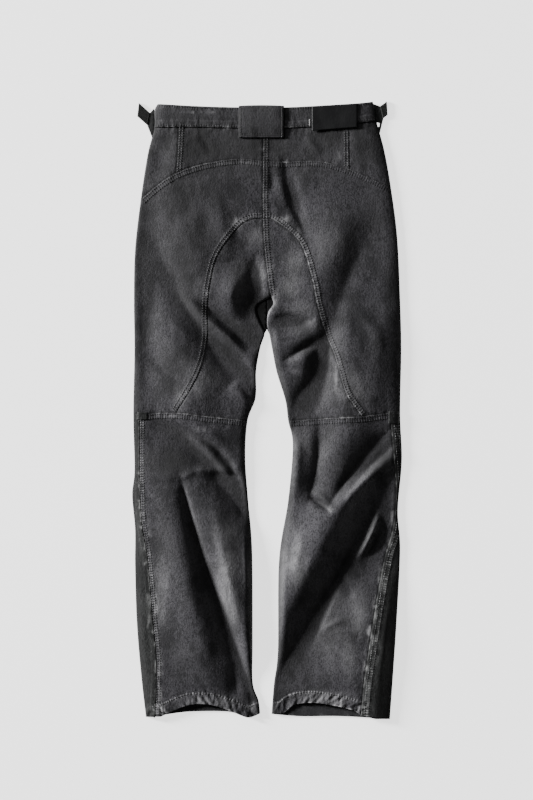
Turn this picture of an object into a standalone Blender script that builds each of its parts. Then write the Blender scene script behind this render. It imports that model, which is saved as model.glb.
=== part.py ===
"""Coated black jeans laid flat on a table, back up, built the way the garment is cut and sewn.

The two front panels lie flat on the table. The back panels lie on them as a thin wall of cloth
whose height follows a few sums: a plateau, a round-off along the folded sides, and the large
folds. Each panel is cut from the seam lines below, 0.3 mm short of its neighbour.

Tables are in millimetres: x from the centre back, y from the hem up, z from the table up.
"""
import math

import bpy
import numpy as np
from mathutils.geometry import delaunay_2d_cdt

# ---------------------------------------------------------------- driving dimensions (mm)
MM = 0.001
LENGTH = 1081.0          # hem to the tips of the side straps
CLOTH = 1.2              # coated denim
BAND = 2.4               # waistband: two layers of denim
HEM_DEPTH = 21.0         # turned hem
HEM_WALL = 2.2           # cloth turned under twice
HEM_STEP = 3.0           # the hem's extra thickness grows over this length
SEAM_GAP = 0.3           # air between two pieces
FRONT_TOP = CLOTH        # upper face of the front panels
EDGE_TOP = FRONT_TOP + SEAM_GAP
SEAM_STEP = 17.0         # spacing of points along seams and folded sides
FIELD_STEP = 21.5        # spacing of points on open cloth
FOLD_STEP = 13.0         # spacing of points along a fold
SIDE_ROWS = (1.8, 6.5, 15.0)    # rows of points in from a folded side
ROW_NEAR = 3.0           # least space between two points of those rows
NEAR = 7.5               # least space between two points elsewhere
CROTCH_FAN = (10, 50, 130, 170)    # degrees, where the rows turn round the crotch opening's tip
FIELD_CROWD = 0.62       # open cloth takes a point where this share of its spacing is free
ROW_CROWD = 0.8          # the rows keep this share of the first row's depth clear of the outline
SHARP_ANGLE = 60.0       # degrees; a softer edge than this is shaded smooth

# ---------------------------------------------------------------- seam lines and edges: (x, y)
WAIST_TOP = [(-191, 1076), (-122, 1072), (-50, 1070), (30, 1070), (78, 1072), (158, 1077),
             (185, 1080)]
WAIST_SEAM = [(-197, 1035), (-154, 1036), (-91, 1035), (-6, 1034), (77, 1036), (142, 1041),
              (191, 1047)]
YOKE_SEAM = [(-221, 909), (-192, 934), (-159, 955), (-112, 971), (-50, 980), (-7, 976),
             (34, 975), (89, 976), (143, 962), (180, 947), (217, 929)]
DART_LEFT = [(-154, 1036), (-156, 996), (-159, 955)]
DART_RIGHT = [(142, 1041), (143, 1001), (143, 962)]
CENTRE_BACK = [(-6, 1034), (-7, 976), (-7, 876), (-4, 821), (3, 763), (7, 739)]
SADDLE_LEFT = [(-7, 876), (-29, 874), (-50, 861), (-86, 813), (-99, 768), (-105, 719), (-104, 676),
               (-111, 631), (-127, 590), (-160, 536)]
SADDLE_RIGHT = [(-7, 876), (13, 873), (49, 844), (65, 818), (80, 765), (88, 723), (103, 674),
                (121, 628), (138, 570), (166, 530)]
KNEE_LEFT = [(-234, 534), (-223, 534), (-160, 536), (-107, 530), (-34, 522)]
KNEE_RIGHT = [(233, 536), (215, 536), (166, 530), (117, 527), (37, 522)]
OUTSEAM_LEFT = [(-223, 534), (-223, 444), (-220, 350), (-209, 278), (-200, 170), (-194, 103), (-196, 4)]
OUTSEAM_RIGHT = [(215, 536), (220, 480), (226, 392), (220, 334), (207, 287), (192, 212), (171, 77), (164, 7)]
SIDE_LEFT = [(-191, 1076), (-197, 1064), (-197, 1035), (-209, 987), (-221, 909), (-231, 821), (-233, 733),
             (-232, 646), (-234, 534), (-232, 436), (-236, 392), (-231, 331), (-231, 270), (-228, 170),
             (-220, 74), (-212, 4)]
SIDE_RIGHT = [(185, 1080), (189, 1064), (191, 1047), (205, 996), (217, 929), (228, 842), (233, 733),
              (235, 646), (233, 536), (236, 453), (229, 366), (233, 296), (227, 173), (221, 82), (215, 0)]
INNER_LEFT = [(7, 739), (-17, 725), (-19, 710), (-10, 688), (-4, 675), (-12, 649), (-19, 609), (-20, 562),
              (-34, 522), (-38, 457), (-33, 383), (-26, 296), (-25, 138), (-25, 65), (-15, 33), (-12, 10)]
INNER_RIGHT = [(7, 739), (11, 727), (2, 712), (0, 690), (4, 674), (10, 642), (17, 607), (32, 558),
               (37, 522), (45, 478), (37, 383), (21, 278), (19, 121), (12, 61), (8, 9)]
HEM_LEFT = [(-196, 4), (-173, 11), (-141, 24), (-116, 27), (-88, 23), (-60, 13), (-33, 3), (-12, 10)]
HEM_RIGHT = [(164, 7), (152, 15), (118, 24), (79, 29), (47, 25), (30, 12), (8, 9)]
FRONT_HEM_LEFT = [(-212, 4), (-184, 7), (-135, 13), (-68, 13), (-37, 4), (-12, 10)]
FRONT_HEM_RIGHT = [(215, 0), (130, 5), (58, 5), (8, 9)]
FRONT_WAIST_TOP = [(-193, 1070), (-120, 1056), (0, 1048), (115, 1058), (187, 1073)]
FRONT_WAIST_SEAM = [(-197, 1037), (-125, 1018), (0, 1009), (120, 1020), (191, 1049)]
FRONT_CROTCH = (0, 682)

# ---------------------------------------------------------------- small pieces
LOOP_LEFT, LOOP_RIGHT, LOOP_LOW, LOOP_HIGH = -49.5, 29.8, 1016.5, 1073.0
LOOP_WALL = 2.4          # denim folded in two
LOOP_SECTIONS = 6        # sections across the loop's width
LOOP_FOOT = 6.0          # length of the loop that is sewn to the yoke
LOOP_STEP = 1033.0       # where the loop climbs onto the waistband
LOOP_CROWN = 2.0         # the loop bends down over this length at the top
LOOP_HOOK = 1.0          # how far it reaches in over the band's top edge, and down
PATCH = [(78.5, 1028.5), (157.5, 1034.8), (157.5, 1076.0), (78.5, 1071.3)]
PATCH_WALL = 1.5
STRAP = 3.0              # webbing laid double
STRAP_LEFT = [(-224.4, 1078.5), (-227.2, 1054.6), (-208.6, 1038.4), (-204.4, 1060.2)]
STRAP_RIGHT = [(197.2, 1071.6), (209.7, 1081.0), (211.2, 1057.0), (202.6, 1050.4)]
TAB_LEFT = [(-204.1, 1060.4), (-198.5, 1067.4), (-197.4, 1060.0), (-197.4, 1036.0),
            (-201.8, 1019.6), (-208.2, 1038.1)]
TAB_RIGHT = [(188.0, 1076.6), (196.7, 1071.6), (202.2, 1050.0), (197.4, 1028.0), (196.9, 1031.5),
             (198.2, 1037.0), (197.4, 1044.5), (191.8, 1047.5), (189.8, 1064.0)]
BUTTON_AT = (0, 1029)
BUTTON_RADIUS = 8.5
BUTTON_TURN = 15         # degrees between two points of the button's rim
BITE_POINTS = 9          # points of the round bite that each half band leaves for the button
FLY_SHIELD = [(-12, 868), (24, 868), (24, 1006), (-12, 1006)]
STRIP_UNDER = 26.0       # how far a side strip reaches in under the leg
STRIP_SHARES = (1.0, 0.55, 0.25, 0.08)    # points of a strip's section, from the seam to the fold
STRIP_BEND = 1.6         # clear width inside the folded edge

# rows where a curve of a table above meets another one
YOKE_LEFT_END, YOKE_DART_LEFT, YOKE_CENTRE, YOKE_DART_RIGHT, YOKE_RIGHT_END = 0, 2, 5, 8, 10
WAIST_DART_LEFT, WAIST_CENTRE, WAIST_DART_RIGHT, WAIST_RIGHT_END = 1, 3, 5, 6
CENTRE_YOKE, CENTRE_SADDLE, CENTRE_CROTCH = 1, 2, 5
KNEE_SIDE, KNEE_OUTSEAM, KNEE_SADDLE, KNEE_INNER = 0, 1, 2, 4
SIDE_WAIST, SIDE_YOKE, SIDE_KNEE = 2, 4, 8
INNER_FORK, INNER_KNEE = 4, 8
FRONT_CENTRE, FRONT_END = 2, 4

# ---------------------------------------------------------------- how the upper layer lies
LAYER_GAP = 3.5          # air between the two layers where no fold lifts the upper one
PLATEAU = FRONT_TOP + LAYER_GAP + CLOTH
EDGE_ROOM = 0.24         # least air over the lower layer, close to a folded side
EDGE_SLOPE = 3.0         # the cloth reaches its full thickness this far in from a folded side
SLOPE_STEP = 0.5         # half the base of the slope's central difference
ROUND_OFF = {"side_left": 20.0, "side_right": 22.0, "inner_left": 15.0, "inner_right": 15.0}

# Folds: a bowed line from (x0, y0) to (x1, y1), its height at the middle, how far it spreads to
# the left and to the right of the way along it, and its power: 2 is a soft bell, 1 a sharp crest.
FOLDS = [
    # name                      x0    y0    x1    y1   bow   high  left right power
    ("thigh_left_fulness",     -124,  908, -124,  523,    0,   5.0,   70,   60,  2.0),
    ("thigh_right_fulness",     121,  908,  128,  514,    0,   5.0,   56,   70,  2.0),
    ("calf_left_fulness",      -135,  646, -107,   12,    0,   6.5,   56,   56,  2.0),
    ("calf_right_fulness",      117,  611,  121,   -9,    0,   5.5,   56,   56,  2.0),
    ("calf_right_crease",       247,  467,  -37,  -54,   -3, -11.5,   38,   14,  1.2),
    ("calf_right_mound",        201,  516,  -47,   26,   -6,   9.5,   27,   42,  2.0),
    ("calf_right_outer",        219,  261,  177,  -54,    0,   5.0,   16,   60,  1.7),
    ("calf_right_finger",       200,  380,  158,  278,    5,   6.0,    9,    9,  1.5),
    ("calf_right_pocket",       205,  334,  178,  282,    0,  -3.5,    9,    7,  1.5),
    ("calf_right_shelf",        226,  516,  100,  359,   -8,  -9.5,   14,   15,  1.2),
    ("calf_right_shelf_mound",  177,  527,   68,  397,   -8,   3.5,   22,   28,  1.9),
    ("calf_right_shelf_lip",    233,  471,  117,  352,   -8,   4.5,   14,   10,  1.6),
    ("calf_right_inner_roll",    44,  527,   51,  383,   -4,   6.0,   18,   10,  1.8),
    ("calf_right_inner_crease",   89,  537,   65,  362,   10,  -8.0,   34,   11,  1.1),
    ("calf_right_dimple",        72,  390,  114,  360,    0,  -3.5,    6,    7,  1.5),
    ("calf_left_crease",       -156,  446,   12,  -33,  -16, -12.0,   11,   13,  1.2),
    ("calf_left_mound",        -191,  471,  -61,   -9,  -14,   4.5,   22,   34,  1.9),
    ("calf_left_ridge",         -96,  418,   -2,   51,  -13,   6.5,   34,   16,  1.7),
    ("calf_left_arc",          -229,  544,  -19,  331,   26, -11.5,   13,   26,  1.3),
    ("calf_left_arc_ridge",    -124,  434,  -47,  429,    4,   4.0,   10,    9,  1.7),
    ("calf_left_dimple",        -61,  100,  -52,   37,    0,  -4.0,   10,   10,  1.6),
    ("thigh_left_trough",      -226,  852,   -9,  551,   -8, -10.5,   32,   22,  1.4),
    ("thigh_left_swell",       -205,  698,  -82,  576,   -4,   3.0,   20,   30,  1.8),
    ("thigh_left_ridge",       -166,  765,  -37,  642,   -6,   6.0,   12,   22,  1.7),
    ("thigh_left_crease",      -131,  733,    2,  635,    8,  -7.5,    7,   15,  1.1),
    ("crotch_left_crease",      -19,  817,   10,  639,  -12, -12.5,    8,   22,  1.1),
    ("crotch_left_ridge",       -65,  800,  -58,  695,    0,   5.0,   18,   22,  1.8),
    ("crotch_left_pleat",       -61,  676,   16,  670,    0,  -5.0,   10,   12,  1.4),
    ("thigh_left_bulge",        -61,  590,  -19,  551,    0,   5.0,   14,   20,  1.8),
    ("thigh_right_crease",      107,  712,   26,  481,   16, -13.5,   34,   17,  1.1),
    ("thigh_right_inner",        54,  681,   68,  558,    4,   4.0,   18,   24,  1.8),
    ("thigh_right_plateau",     149,  733,  138,  471,    0,   5.5,   66,   30,  1.9),
    ("thigh_right_pleat",         2,  690,   86,  698,    0,  -8.0,    9,   13,  1.4),
    ("thigh_right_low_pleat",   103,  663,   23,  621,   -4,  -6.0,    8,   13,  1.3),
    ("thigh_right_trough",      194,  877,  110,  642,  -14,  -5.5,   30,   26,  1.5),
    ("thigh_right_roll",        208,  751,  184,  523,    0,   2.0,   20,   20,  1.8),
    ("seat_right_crease",        28,  989,   72,  838,   -6,  -6.0,   16,    8,  1.2),
    ("seat_right_swell",        110,  926,   96,  733,    0,   2.5,   50,   40,  1.8),
    ("seat_left_swell",        -152,  943, -124,  768,    0,   2.5,   50,   44,  1.8),
    ("seat_left_ridge",         -93,  915,  -68,  800,    4,   2.5,   14,   20,  1.8),
    ("side_left_trough",       -212,  968, -212,  523,    0,  -5.0,   24,   16,  1.8),
    ("yoke_left_trough",       -173, 1034, -205,  926,    0,  -3.0,   20,   20,  1.8),
]
FOLD_FADE = 1.2          # how a fold fades towards its two ends: 1 evenly, more is softer
FOLD_POINTS = 16         # points of a fold's centre line


# ---------------------------------------------------------------- curves
def between(p0, p1, p2, p3, t):
    """Point at t on the smooth span p1 to p2 of a curve through four knots."""
    a, b = 2.0 * p1, p2 - p0
    c = 2.0 * p0 - 5.0 * p1 + 4.0 * p2 - p3
    d = 3.0 * p1 - p0 - 3.0 * p2 + p3
    return 0.5 * (a + b * t + c * t * t + d * t ** 3)


def curve(knots, step=SEAM_STEP, first=0, last=None):
    """Points about a step apart on the smooth curve through the knots, from knot first to knot
    last, running backwards where last comes before first. Every knot stays a point."""
    k = np.array(knots, float)
    last = len(k) - 1 if last is None else last
    low, high = min(first, last), max(first, last)
    points = []
    for i in range(low, high):
        p0, p3 = k[max(i - 1, 0)], k[min(i + 2, len(k) - 1)]
        count = max(1, round(np.linalg.norm(k[i + 1] - k[i]) / step))
        points += [between(p0, k[i], k[i + 1], p3, n / count) for n in range(count)]
    points = np.array(points + [k[high]])
    return points if first <= last else points[::-1]


def loop(*parts):
    """One closed outline, anticlockwise, from curves laid end to end."""
    joined = [parts[0]]
    for part in parts[1:]:
        same = np.linalg.norm(part[0] - joined[-1][-1]) < SEAM_GAP
        joined.append(part[1:] if same else part)
    points = np.vstack(joined).astype(float)
    if np.linalg.norm(points[0] - points[-1]) < SEAM_GAP:
        points = points[:-1]
    nxt = np.roll(points, -1, axis=0)
    area = 0.5 * np.sum(points[:, 0] * nxt[:, 1] - nxt[:, 0] * points[:, 1])
    return points if area > 0 else points[::-1]


def outward(points):
    """Unit normals of an anticlockwise outline, level with the table."""
    before = points - np.roll(points, 1, axis=0)
    after = np.roll(points, -1, axis=0) - points
    before /= np.linalg.norm(before, axis=1)[:, None]
    after /= np.linalg.norm(after, axis=1)[:, None]
    along = before + after
    along /= np.maximum(np.linalg.norm(along, axis=1), 1e-9)[:, None]
    return np.stack([along[:, 1], -along[:, 0]], axis=1)


def inset(points, distance):
    """The outline moved inwards."""
    return points - outward(points) * distance


def inside(outline, points):
    """Which points lie inside a closed outline (even number of crossings is outside)."""
    x, y = points[:, 0], points[:, 1]
    hit = np.zeros(len(points), bool)
    for (x0, y0), (x1, y1) in zip(outline, np.roll(outline, -1, axis=0)):
        if y0 == y1:
            continue
        crosses = ((y0 > y) != (y1 > y)) & (x < (x1 - x0) * (y - y0) / (y1 - y0) + x0)
        hit ^= crosses
    return hit


def distance_along(points, line):
    """Distance of each point to a polyline, which side it is on, and how far along it lies."""
    start, step = line[:-1], np.diff(line, axis=0)
    size = np.sum(step ** 2, axis=1)
    away = points[:, None, :] - start[None]
    t = np.clip(np.sum(away * step[None], axis=2) / size, 0.0, 1.0)
    off = away - t[..., None] * step[None]
    gap = np.linalg.norm(off, axis=2)
    best = np.argmin(gap, axis=1)
    row = np.arange(len(points))
    side = step[best, 0] * away[row, best, 1] - step[best, 1] * away[row, best, 0]
    return gap[row, best], np.sign(side), (best + t[row, best]) / len(step)


# ---------------------------------------------------------------- the upper layer's height
SIDES = {
    "side_left": curve(SIDE_LEFT),
    "side_right": curve(SIDE_RIGHT),
    "inner_left": curve(INNER_LEFT),
    "inner_right": curve(INNER_RIGHT),
}


def quarter(t):
    """A quarter circle from 0 at t = 0 to 1 at t = 1."""
    return np.sqrt(1.0 - (1.0 - np.clip(t, 0.0, 1.0)) ** 2)


def fold_line(row, count=FOLD_POINTS):
    """The bowed centre line of a fold."""
    _, x0, y0, x1, y1, bow = row[:6]
    a, b = np.array([x0, y0], float), np.array([x1, y1], float)
    along = (b - a) / np.linalg.norm(b - a)
    middle = (a + b) / 2 + 2 * bow * np.array([-along[1], along[0]])
    t = np.linspace(0.0, 1.0, count)[:, None]
    return (1 - t) ** 2 * a + 2 * t * (1 - t) * middle + t ** 2 * b


def fold_height(row, points):
    """What one fold adds to the height at each point."""
    high, left, right, power = row[6:10]
    gap, side, along = distance_along(points, fold_line(row))
    spread = np.where(side > 0, left, right)
    fade = (4.0 * along * (1.0 - along)).clip(0.0, 1.0) ** FOLD_FADE
    return high * fade * np.exp(-(gap / spread) ** power)


def height(points):
    """Outer face of the upper layer over each (x, y)."""
    rise = np.ones(len(points))
    near = np.full(len(points), 1e9)
    for name, line in SIDES.items():
        gap = distance_along(points, line)[0]
        rise = np.minimum(rise, quarter(gap / ROUND_OFF[name]))
        near = np.minimum(near, gap)
    folds = sum(fold_height(row, points) for row in FOLDS)
    raised = (PLATEAU - EDGE_TOP + folds) * rise
    blend = quarter(near / EDGE_SLOPE)
    least = (hem_wall(points) + EDGE_ROOM) * blend
    over = raised - least
    return EDGE_TOP + least + 0.5 * (over + np.sqrt(over ** 2 + blend ** 2))


def side_distance(points):
    """Distance of each point to the nearest folded side."""
    return np.min([distance_along(points, line)[0] for line in SIDES.values()], axis=0)


def seam(knots, first=0, last=None):
    """A seam's points, closer together where it runs out to a folded side."""
    line = curve(knots, SEAM_STEP, first, last)
    for _ in ("at its end", "at its start"):
        line = line[::-1]
        if side_distance(line[:1])[0] < SEAM_GAP:
            along = np.linalg.norm(line - line[0], axis=1)
            rest = line[1:][along[1:] > SIDE_ROWS[1] + ROW_NEAR]
            toward = (rest[0] - line[0]) / np.linalg.norm(rest[0] - line[0])
            line = np.vstack([line[:1], *(line[:1] + toward * row for row in SIDE_ROWS[:2]), rest])
    return line


def hem_wall(points):
    """Thickness of the back's cloth: more where the hem is turned under."""
    best = np.full(len(points), 1e9)
    for line in (curve(HEM_LEFT), curve(HEM_RIGHT)):
        best = np.minimum(best, distance_along(points, line)[0])
    t = np.clip((HEM_DEPTH - best) / HEM_STEP, 0.0, 1.0)
    return CLOTH + (HEM_WALL - CLOTH) * t


def slope_normal(points, surface):
    """Unit normals of a height function, by central differences."""
    h = SLOPE_STEP
    dx = (surface(points + (h, 0)) - surface(points - (h, 0))) / (2 * h)
    dy = (surface(points + (0, h)) - surface(points - (0, h))) / (2 * h)
    normal = np.stack([-dx, -dy, np.ones(len(points))], axis=1)
    return normal / np.linalg.norm(normal, axis=1)[:, None]


# ---------------------------------------------------------------- sample points inside a panel
def offset_line(line, distance):
    """A polyline moved to its left."""
    along = np.gradient(line, axis=0)
    along /= np.linalg.norm(along, axis=1)[:, None]
    return line + distance * np.stack([-along[:, 1], along[:, 0]], axis=1)


def guide_points():
    """Points that the shape needs: rows along the hems, lines along the folds, and a plain
    lattice elsewhere, in the order in which they are kept."""
    groups = []
    for table, upward in ((HEM_LEFT, 1), (HEM_RIGHT, -1)):
        line = curve(table)
        groups += [offset_line(line, upward * d) for d in (HEM_DEPTH - HEM_STEP, HEM_DEPTH)]
    for row in FOLDS:
        length = math.hypot(row[3] - row[1], row[4] - row[2])
        line = fold_line(row, max(3, round(length / FOLD_STEP)))
        left, right = row[7:9]
        groups += [line, offset_line(line, left), offset_line(line, -right)]
    xs = np.arange(-240, 241, FIELD_STEP)
    ys = np.arange(0, 1082, FIELD_STEP * math.sqrt(3) / 2)
    lattice = [(x + (FIELD_STEP / 2 if j % 2 else 0), y) for j, y in enumerate(ys) for x in xs]
    groups.append(np.array(lattice))
    return groups


def crotch_fan(radius):
    """Points round the tip of the crotch opening."""
    turn = np.radians(CROTCH_FAN)
    return np.array(INNER_LEFT[0]) + radius * np.column_stack([np.cos(turn), np.sin(turn)])


def inner_points(outline, groups):
    """The points inside a panel: rows in from its folded sides, then the guide points, each
    clear of the outline and of those kept before."""
    closed = np.vstack([outline, outline[:1]])
    side = side_distance(outline) < SEAM_GAP
    side &= np.roll(side, 1) & np.roll(side, -1)
    rows = [np.vstack([inset(outline, depth)[side], crotch_fan(depth)]) for depth in SIDE_ROWS]
    groups = [group[side_distance(group) > SIDE_ROWS[-1] + ROW_NEAR] for group in groups]
    spaces = [ROW_NEAR] * len(rows) + [NEAR] * (len(groups) - 1) + [FIELD_STEP * FIELD_CROWD]
    clears = [SIDE_ROWS[0] * ROW_CROWD] * len(rows) + [NEAR] * len(groups)
    kept = np.zeros((0, 2))
    for group, space, clear in zip(rows + groups, spaces, clears):
        group = group[inside(outline, group)]
        if len(group):
            group = group[distance_along(group, closed)[0] > clear]
        for point in group:
            if not len(kept) or np.min(np.linalg.norm(kept - point, axis=1)) > space:
                kept = np.vstack([kept, point])
    return kept


# ---------------------------------------------------------------- solids
def material(name, colour, roughness, metallic=0.0):
    """A Principled material, made once for each name."""
    found = bpy.data.materials.get(name)
    if found:
        return found
    made = bpy.data.materials.new(name)
    made.use_nodes = True
    shader = made.node_tree.nodes["Principled BSDF"]
    shader.inputs["Base Color"].default_value = (*colour, 1.0)
    shader.inputs["Roughness"].default_value = roughness
    shader.inputs["Metallic"].default_value = metallic
    return made


COATED = ("coated_denim", (0.028, 0.027, 0.030), 0.55)
LEATHER = ("patch_leather", (0.030, 0.031, 0.034), 0.60)
METAL = ("button_metal", (0.18, 0.17, 0.16), 0.35, 1.0)


def add_object(name, vertices, faces, finish):
    """A mesh object from points in millimetres, its centre of length on the origin."""
    at = np.array(vertices, float) - (0.0, LENGTH / 2, 0.0)
    mesh = bpy.data.meshes.new(name)
    mesh.from_pydata((at * MM).tolist(), [], faces)
    mesh.validate()
    mesh.shade_smooth()
    mesh.set_sharp_from_angle(angle=math.radians(SHARP_ANGLE))
    made = bpy.data.objects.new(name, mesh)
    made.data.materials.append(material(*finish))
    bpy.context.collection.objects.link(made)
    return made


def fill(outline, extra):
    """Triangles between an outline and the points inside it."""
    points = np.vstack([outline, extra]) if len(extra) else outline
    ring = list(range(len(outline)))
    made = delaunay_2d_cdt([tuple(p) for p in points], [], [ring], 1, 1e-7, False)
    if len(made[0]) != len(points):
        raise ValueError("the outline crosses itself")
    centres = np.array([points[list(f)].mean(axis=0) for f in made[2]])
    faces = [list(f) for f, within in zip(made[2], inside(outline, centres)) if within]
    return points, faces


def close_wall(name, top, under, faces, ring, finish):
    """A closed wall from an upper and an under side with the same points."""
    n = len(top)
    walls = list(faces) + [[n + i for i in reversed(f)] for f in faces]
    for i in range(ring):
        j = (i + 1) % ring
        walls += [[i, n + i, j], [j, n + i, n + j]]
    return add_object(name, np.vstack([top, under]), walls, finish)


def back_panel(name, outline, groups, raised=0.0, wall=None, finish=COATED):
    """A panel of the upper layer: outer points on the height function, inner points a wall's
    thickness below them, along the cloth's own normal."""
    rim = inset(outline, SEAM_GAP / 2)
    points, faces = fill(rim, inner_points(rim, groups))
    z = height(points) + raised
    normal = slope_normal(points, height)
    side = np.flatnonzero(side_distance(rim) < SEAM_GAP)
    z[side] = EDGE_TOP + raised
    normal[side] = np.column_stack([outward(rim)[side], np.zeros(len(side))])
    thick = hem_wall(points) if wall is None else np.full(len(points), wall)
    thick[side] = CLOTH
    top = np.column_stack([points, z])
    under = top - normal * thick[:, None]
    under[:, 2] = np.maximum(under[:, 2], EDGE_TOP + raised)
    return close_wall(name, top, under, faces, len(rim), finish)


def flat_panel(name, outline, low, thick, finish=COATED):
    """A panel with two level faces."""
    rim = inset(outline, SEAM_GAP / 2)
    points, faces = fill(rim, np.zeros((0, 2)))
    top = np.column_stack([points, np.full(len(points), low + thick)])
    under = np.column_stack([points, np.full(len(points), low)])
    return close_wall(name, top, under, faces, len(rim), finish)


def laid_panel(name, outline, groups, lift, thick, finish):
    """A piece that lies on the back: its points are the back's, moved up."""
    points, faces = fill(outline, inner_points(outline, groups))
    z = height(points) + lift
    top = np.column_stack([points, z + thick])
    under = np.column_stack([points, z])
    return close_wall(name, top, under, faces, len(outline), finish)


def swept(name, sections, finish):
    """One closed body through a row of sections with the same number of points."""
    rows = np.array(sections)
    count = rows.shape[1]
    faces = []
    for r in range(len(rows) - 1):
        for i in range(count):
            j = (i + 1) % count
            faces.append([r * count + i, r * count + j, (r + 1) * count + j, (r + 1) * count + i])
    faces.append(list(range(count))[::-1])
    faces.append([(len(rows) - 1) * count + i for i in range(count)])
    return add_object(name, rows.reshape(-1, 3), faces, finish)


# ---------------------------------------------------------------- the garment's pieces
def build_yoke(groups):
    """Four yoke panels, parted by the centre back and by a short seam on each side."""
    centre = seam(CENTRE_BACK, first=0, last=CENTRE_YOKE)
    left, right = curve(DART_LEFT), curve(DART_RIGHT)
    back_panel("yoke_center_left", loop(
        seam(WAIST_SEAM, first=WAIST_DART_LEFT, last=WAIST_CENTRE), centre,
        seam(YOKE_SEAM, first=YOKE_CENTRE, last=YOKE_DART_LEFT), left[::-1]), groups)
    back_panel("yoke_center_right", loop(
        seam(WAIST_SEAM, first=WAIST_CENTRE, last=WAIST_DART_RIGHT), right,
        seam(YOKE_SEAM, first=YOKE_DART_RIGHT, last=YOKE_CENTRE), centre[::-1]), groups)
    back_panel("yoke_side_left", loop(
        seam(WAIST_SEAM, first=0, last=WAIST_DART_LEFT), left,
        seam(YOKE_SEAM, first=YOKE_DART_LEFT, last=YOKE_LEFT_END),
        curve(SIDE_LEFT, first=SIDE_YOKE, last=SIDE_WAIST)), groups)
    back_panel("yoke_side_right", loop(
        seam(WAIST_SEAM, first=WAIST_DART_RIGHT), curve(SIDE_RIGHT, first=SIDE_WAIST, last=SIDE_YOKE),
        seam(YOKE_SEAM, first=YOKE_RIGHT_END, last=YOKE_DART_RIGHT), right[::-1]), groups)


def build_seat(groups):
    """Seat and outer thigh in one panel a side, from the yoke to the knee seam."""
    centre = seam(CENTRE_BACK, first=CENTRE_YOKE, last=CENTRE_SADDLE)
    for name, end, saddle, knee, side in (
            ("seat_left", YOKE_LEFT_END, SADDLE_LEFT, KNEE_LEFT, SIDE_LEFT),
            ("seat_right", YOKE_RIGHT_END, SADDLE_RIGHT, KNEE_RIGHT, SIDE_RIGHT)):
        back_panel(name, loop(
            seam(YOKE_SEAM, first=end, last=YOKE_CENTRE), centre, curve(saddle),
            seam(knee, first=KNEE_SADDLE, last=KNEE_SIDE),
            curve(side, first=SIDE_KNEE, last=SIDE_YOKE)), groups)


def build_saddle(groups):
    """The horseshoe panels round the crotch, down the inner thigh to the knee seam."""
    centre = seam(CENTRE_BACK, first=CENTRE_SADDLE, last=CENTRE_CROTCH)
    for name, inner, knee, saddle in (("saddle_left", INNER_LEFT, KNEE_LEFT, SADDLE_LEFT),
                                      ("saddle_right", INNER_RIGHT, KNEE_RIGHT, SADDLE_RIGHT)):
        back_panel(name, loop(
            centre, curve(inner, last=INNER_KNEE),
            seam(knee, first=KNEE_INNER, last=KNEE_SADDLE), curve(saddle)[::-1]), groups)


def build_calf(groups):
    """The back of each lower leg, its hem turned under."""
    for name, inner, knee, outseam, hem in (
            ("calf_left", INNER_LEFT, KNEE_LEFT, OUTSEAM_LEFT, HEM_LEFT),
            ("calf_right", INNER_RIGHT, KNEE_RIGHT, OUTSEAM_RIGHT, HEM_RIGHT)):
        back_panel(name, loop(
            seam(knee, first=KNEE_OUTSEAM, last=KNEE_INNER), curve(inner, first=INNER_KNEE),
            seam(hem)[::-1], curve(outseam)[::-1]), groups)


def strip_lines(side, outseam):
    """A side strip's three lengthwise lines, with the same number of points: the seam on the back,
    the folded edge, and the seam underneath."""
    back = curve(outseam)
    edge = curve(side, SEAM_STEP / 4, first=SIDE_KNEE)
    size = np.linalg.norm(np.diff(edge, axis=0), axis=1)
    run = np.concatenate([[0.0], np.cumsum(size)]) / size.sum()
    share = np.linspace(0.0, 1.0, len(back))
    edge = np.column_stack([np.interp(share, run, edge[:, 0]), np.interp(share, run, edge[:, 1])])
    inward = 1.0 if side[0][0] < 0 else -1.0
    return back, edge, edge + (inward * STRIP_UNDER, 0.0), inward


def build_side_strips():
    """The strip outside each lower leg's back seam: it runs over the folded edge and in under the
    leg, from the knee to the hem."""
    for name, side, outseam in (("side_strip_left", SIDE_LEFT, OUTSEAM_LEFT),
                                ("side_strip_right", SIDE_RIGHT, OUTSEAM_RIGHT)):
        back, edge, under, inward = strip_lines(side, outseam)
        back = offset_line(back, -inward * SEAM_GAP / 2)
        under = under - (inward * SEAM_GAP / 2, 0.0)
        for line in (back, edge, under):
            line[0, 1] -= SEAM_GAP / 2
        sections = []
        for place, outer, low in zip(back, edge, under):
            across = outer + (place - outer) * np.array(STRIP_SHARES)[:, None]
            normal = slope_normal(across, height)
            above_hem = outer[1] - edge[-1, 1]
            turned = np.clip((HEM_DEPTH - above_hem) / HEM_STEP, 0.0, 1.0)
            wall = CLOTH + (HEM_WALL - CLOTH) * turned
            top = np.column_stack([across, height(across)])
            inner = top - normal * wall
            clear = np.maximum(inward * (inner[:, 0] - outer[0]), STRIP_BEND)
            inner[:, 0] = outer[0] + inward * clear
            inner[:, 2] = np.maximum(inner[:, 2], EDGE_TOP)
            ring = [
                *top,
                (outer[0], outer[1], CLOTH / 2),
                (outer[0] + inward * CLOTH / 2, outer[1], 0.0),
                (low[0], low[1], 0.0),
                (low[0], low[1], CLOTH),
                (outer[0] + inward * STRIP_BEND, outer[1], CLOTH),
                *inner[::-1],
            ]
            sections.append(ring if inward > 0 else ring[::-1])
        swept(name, sections, COATED)


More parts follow.
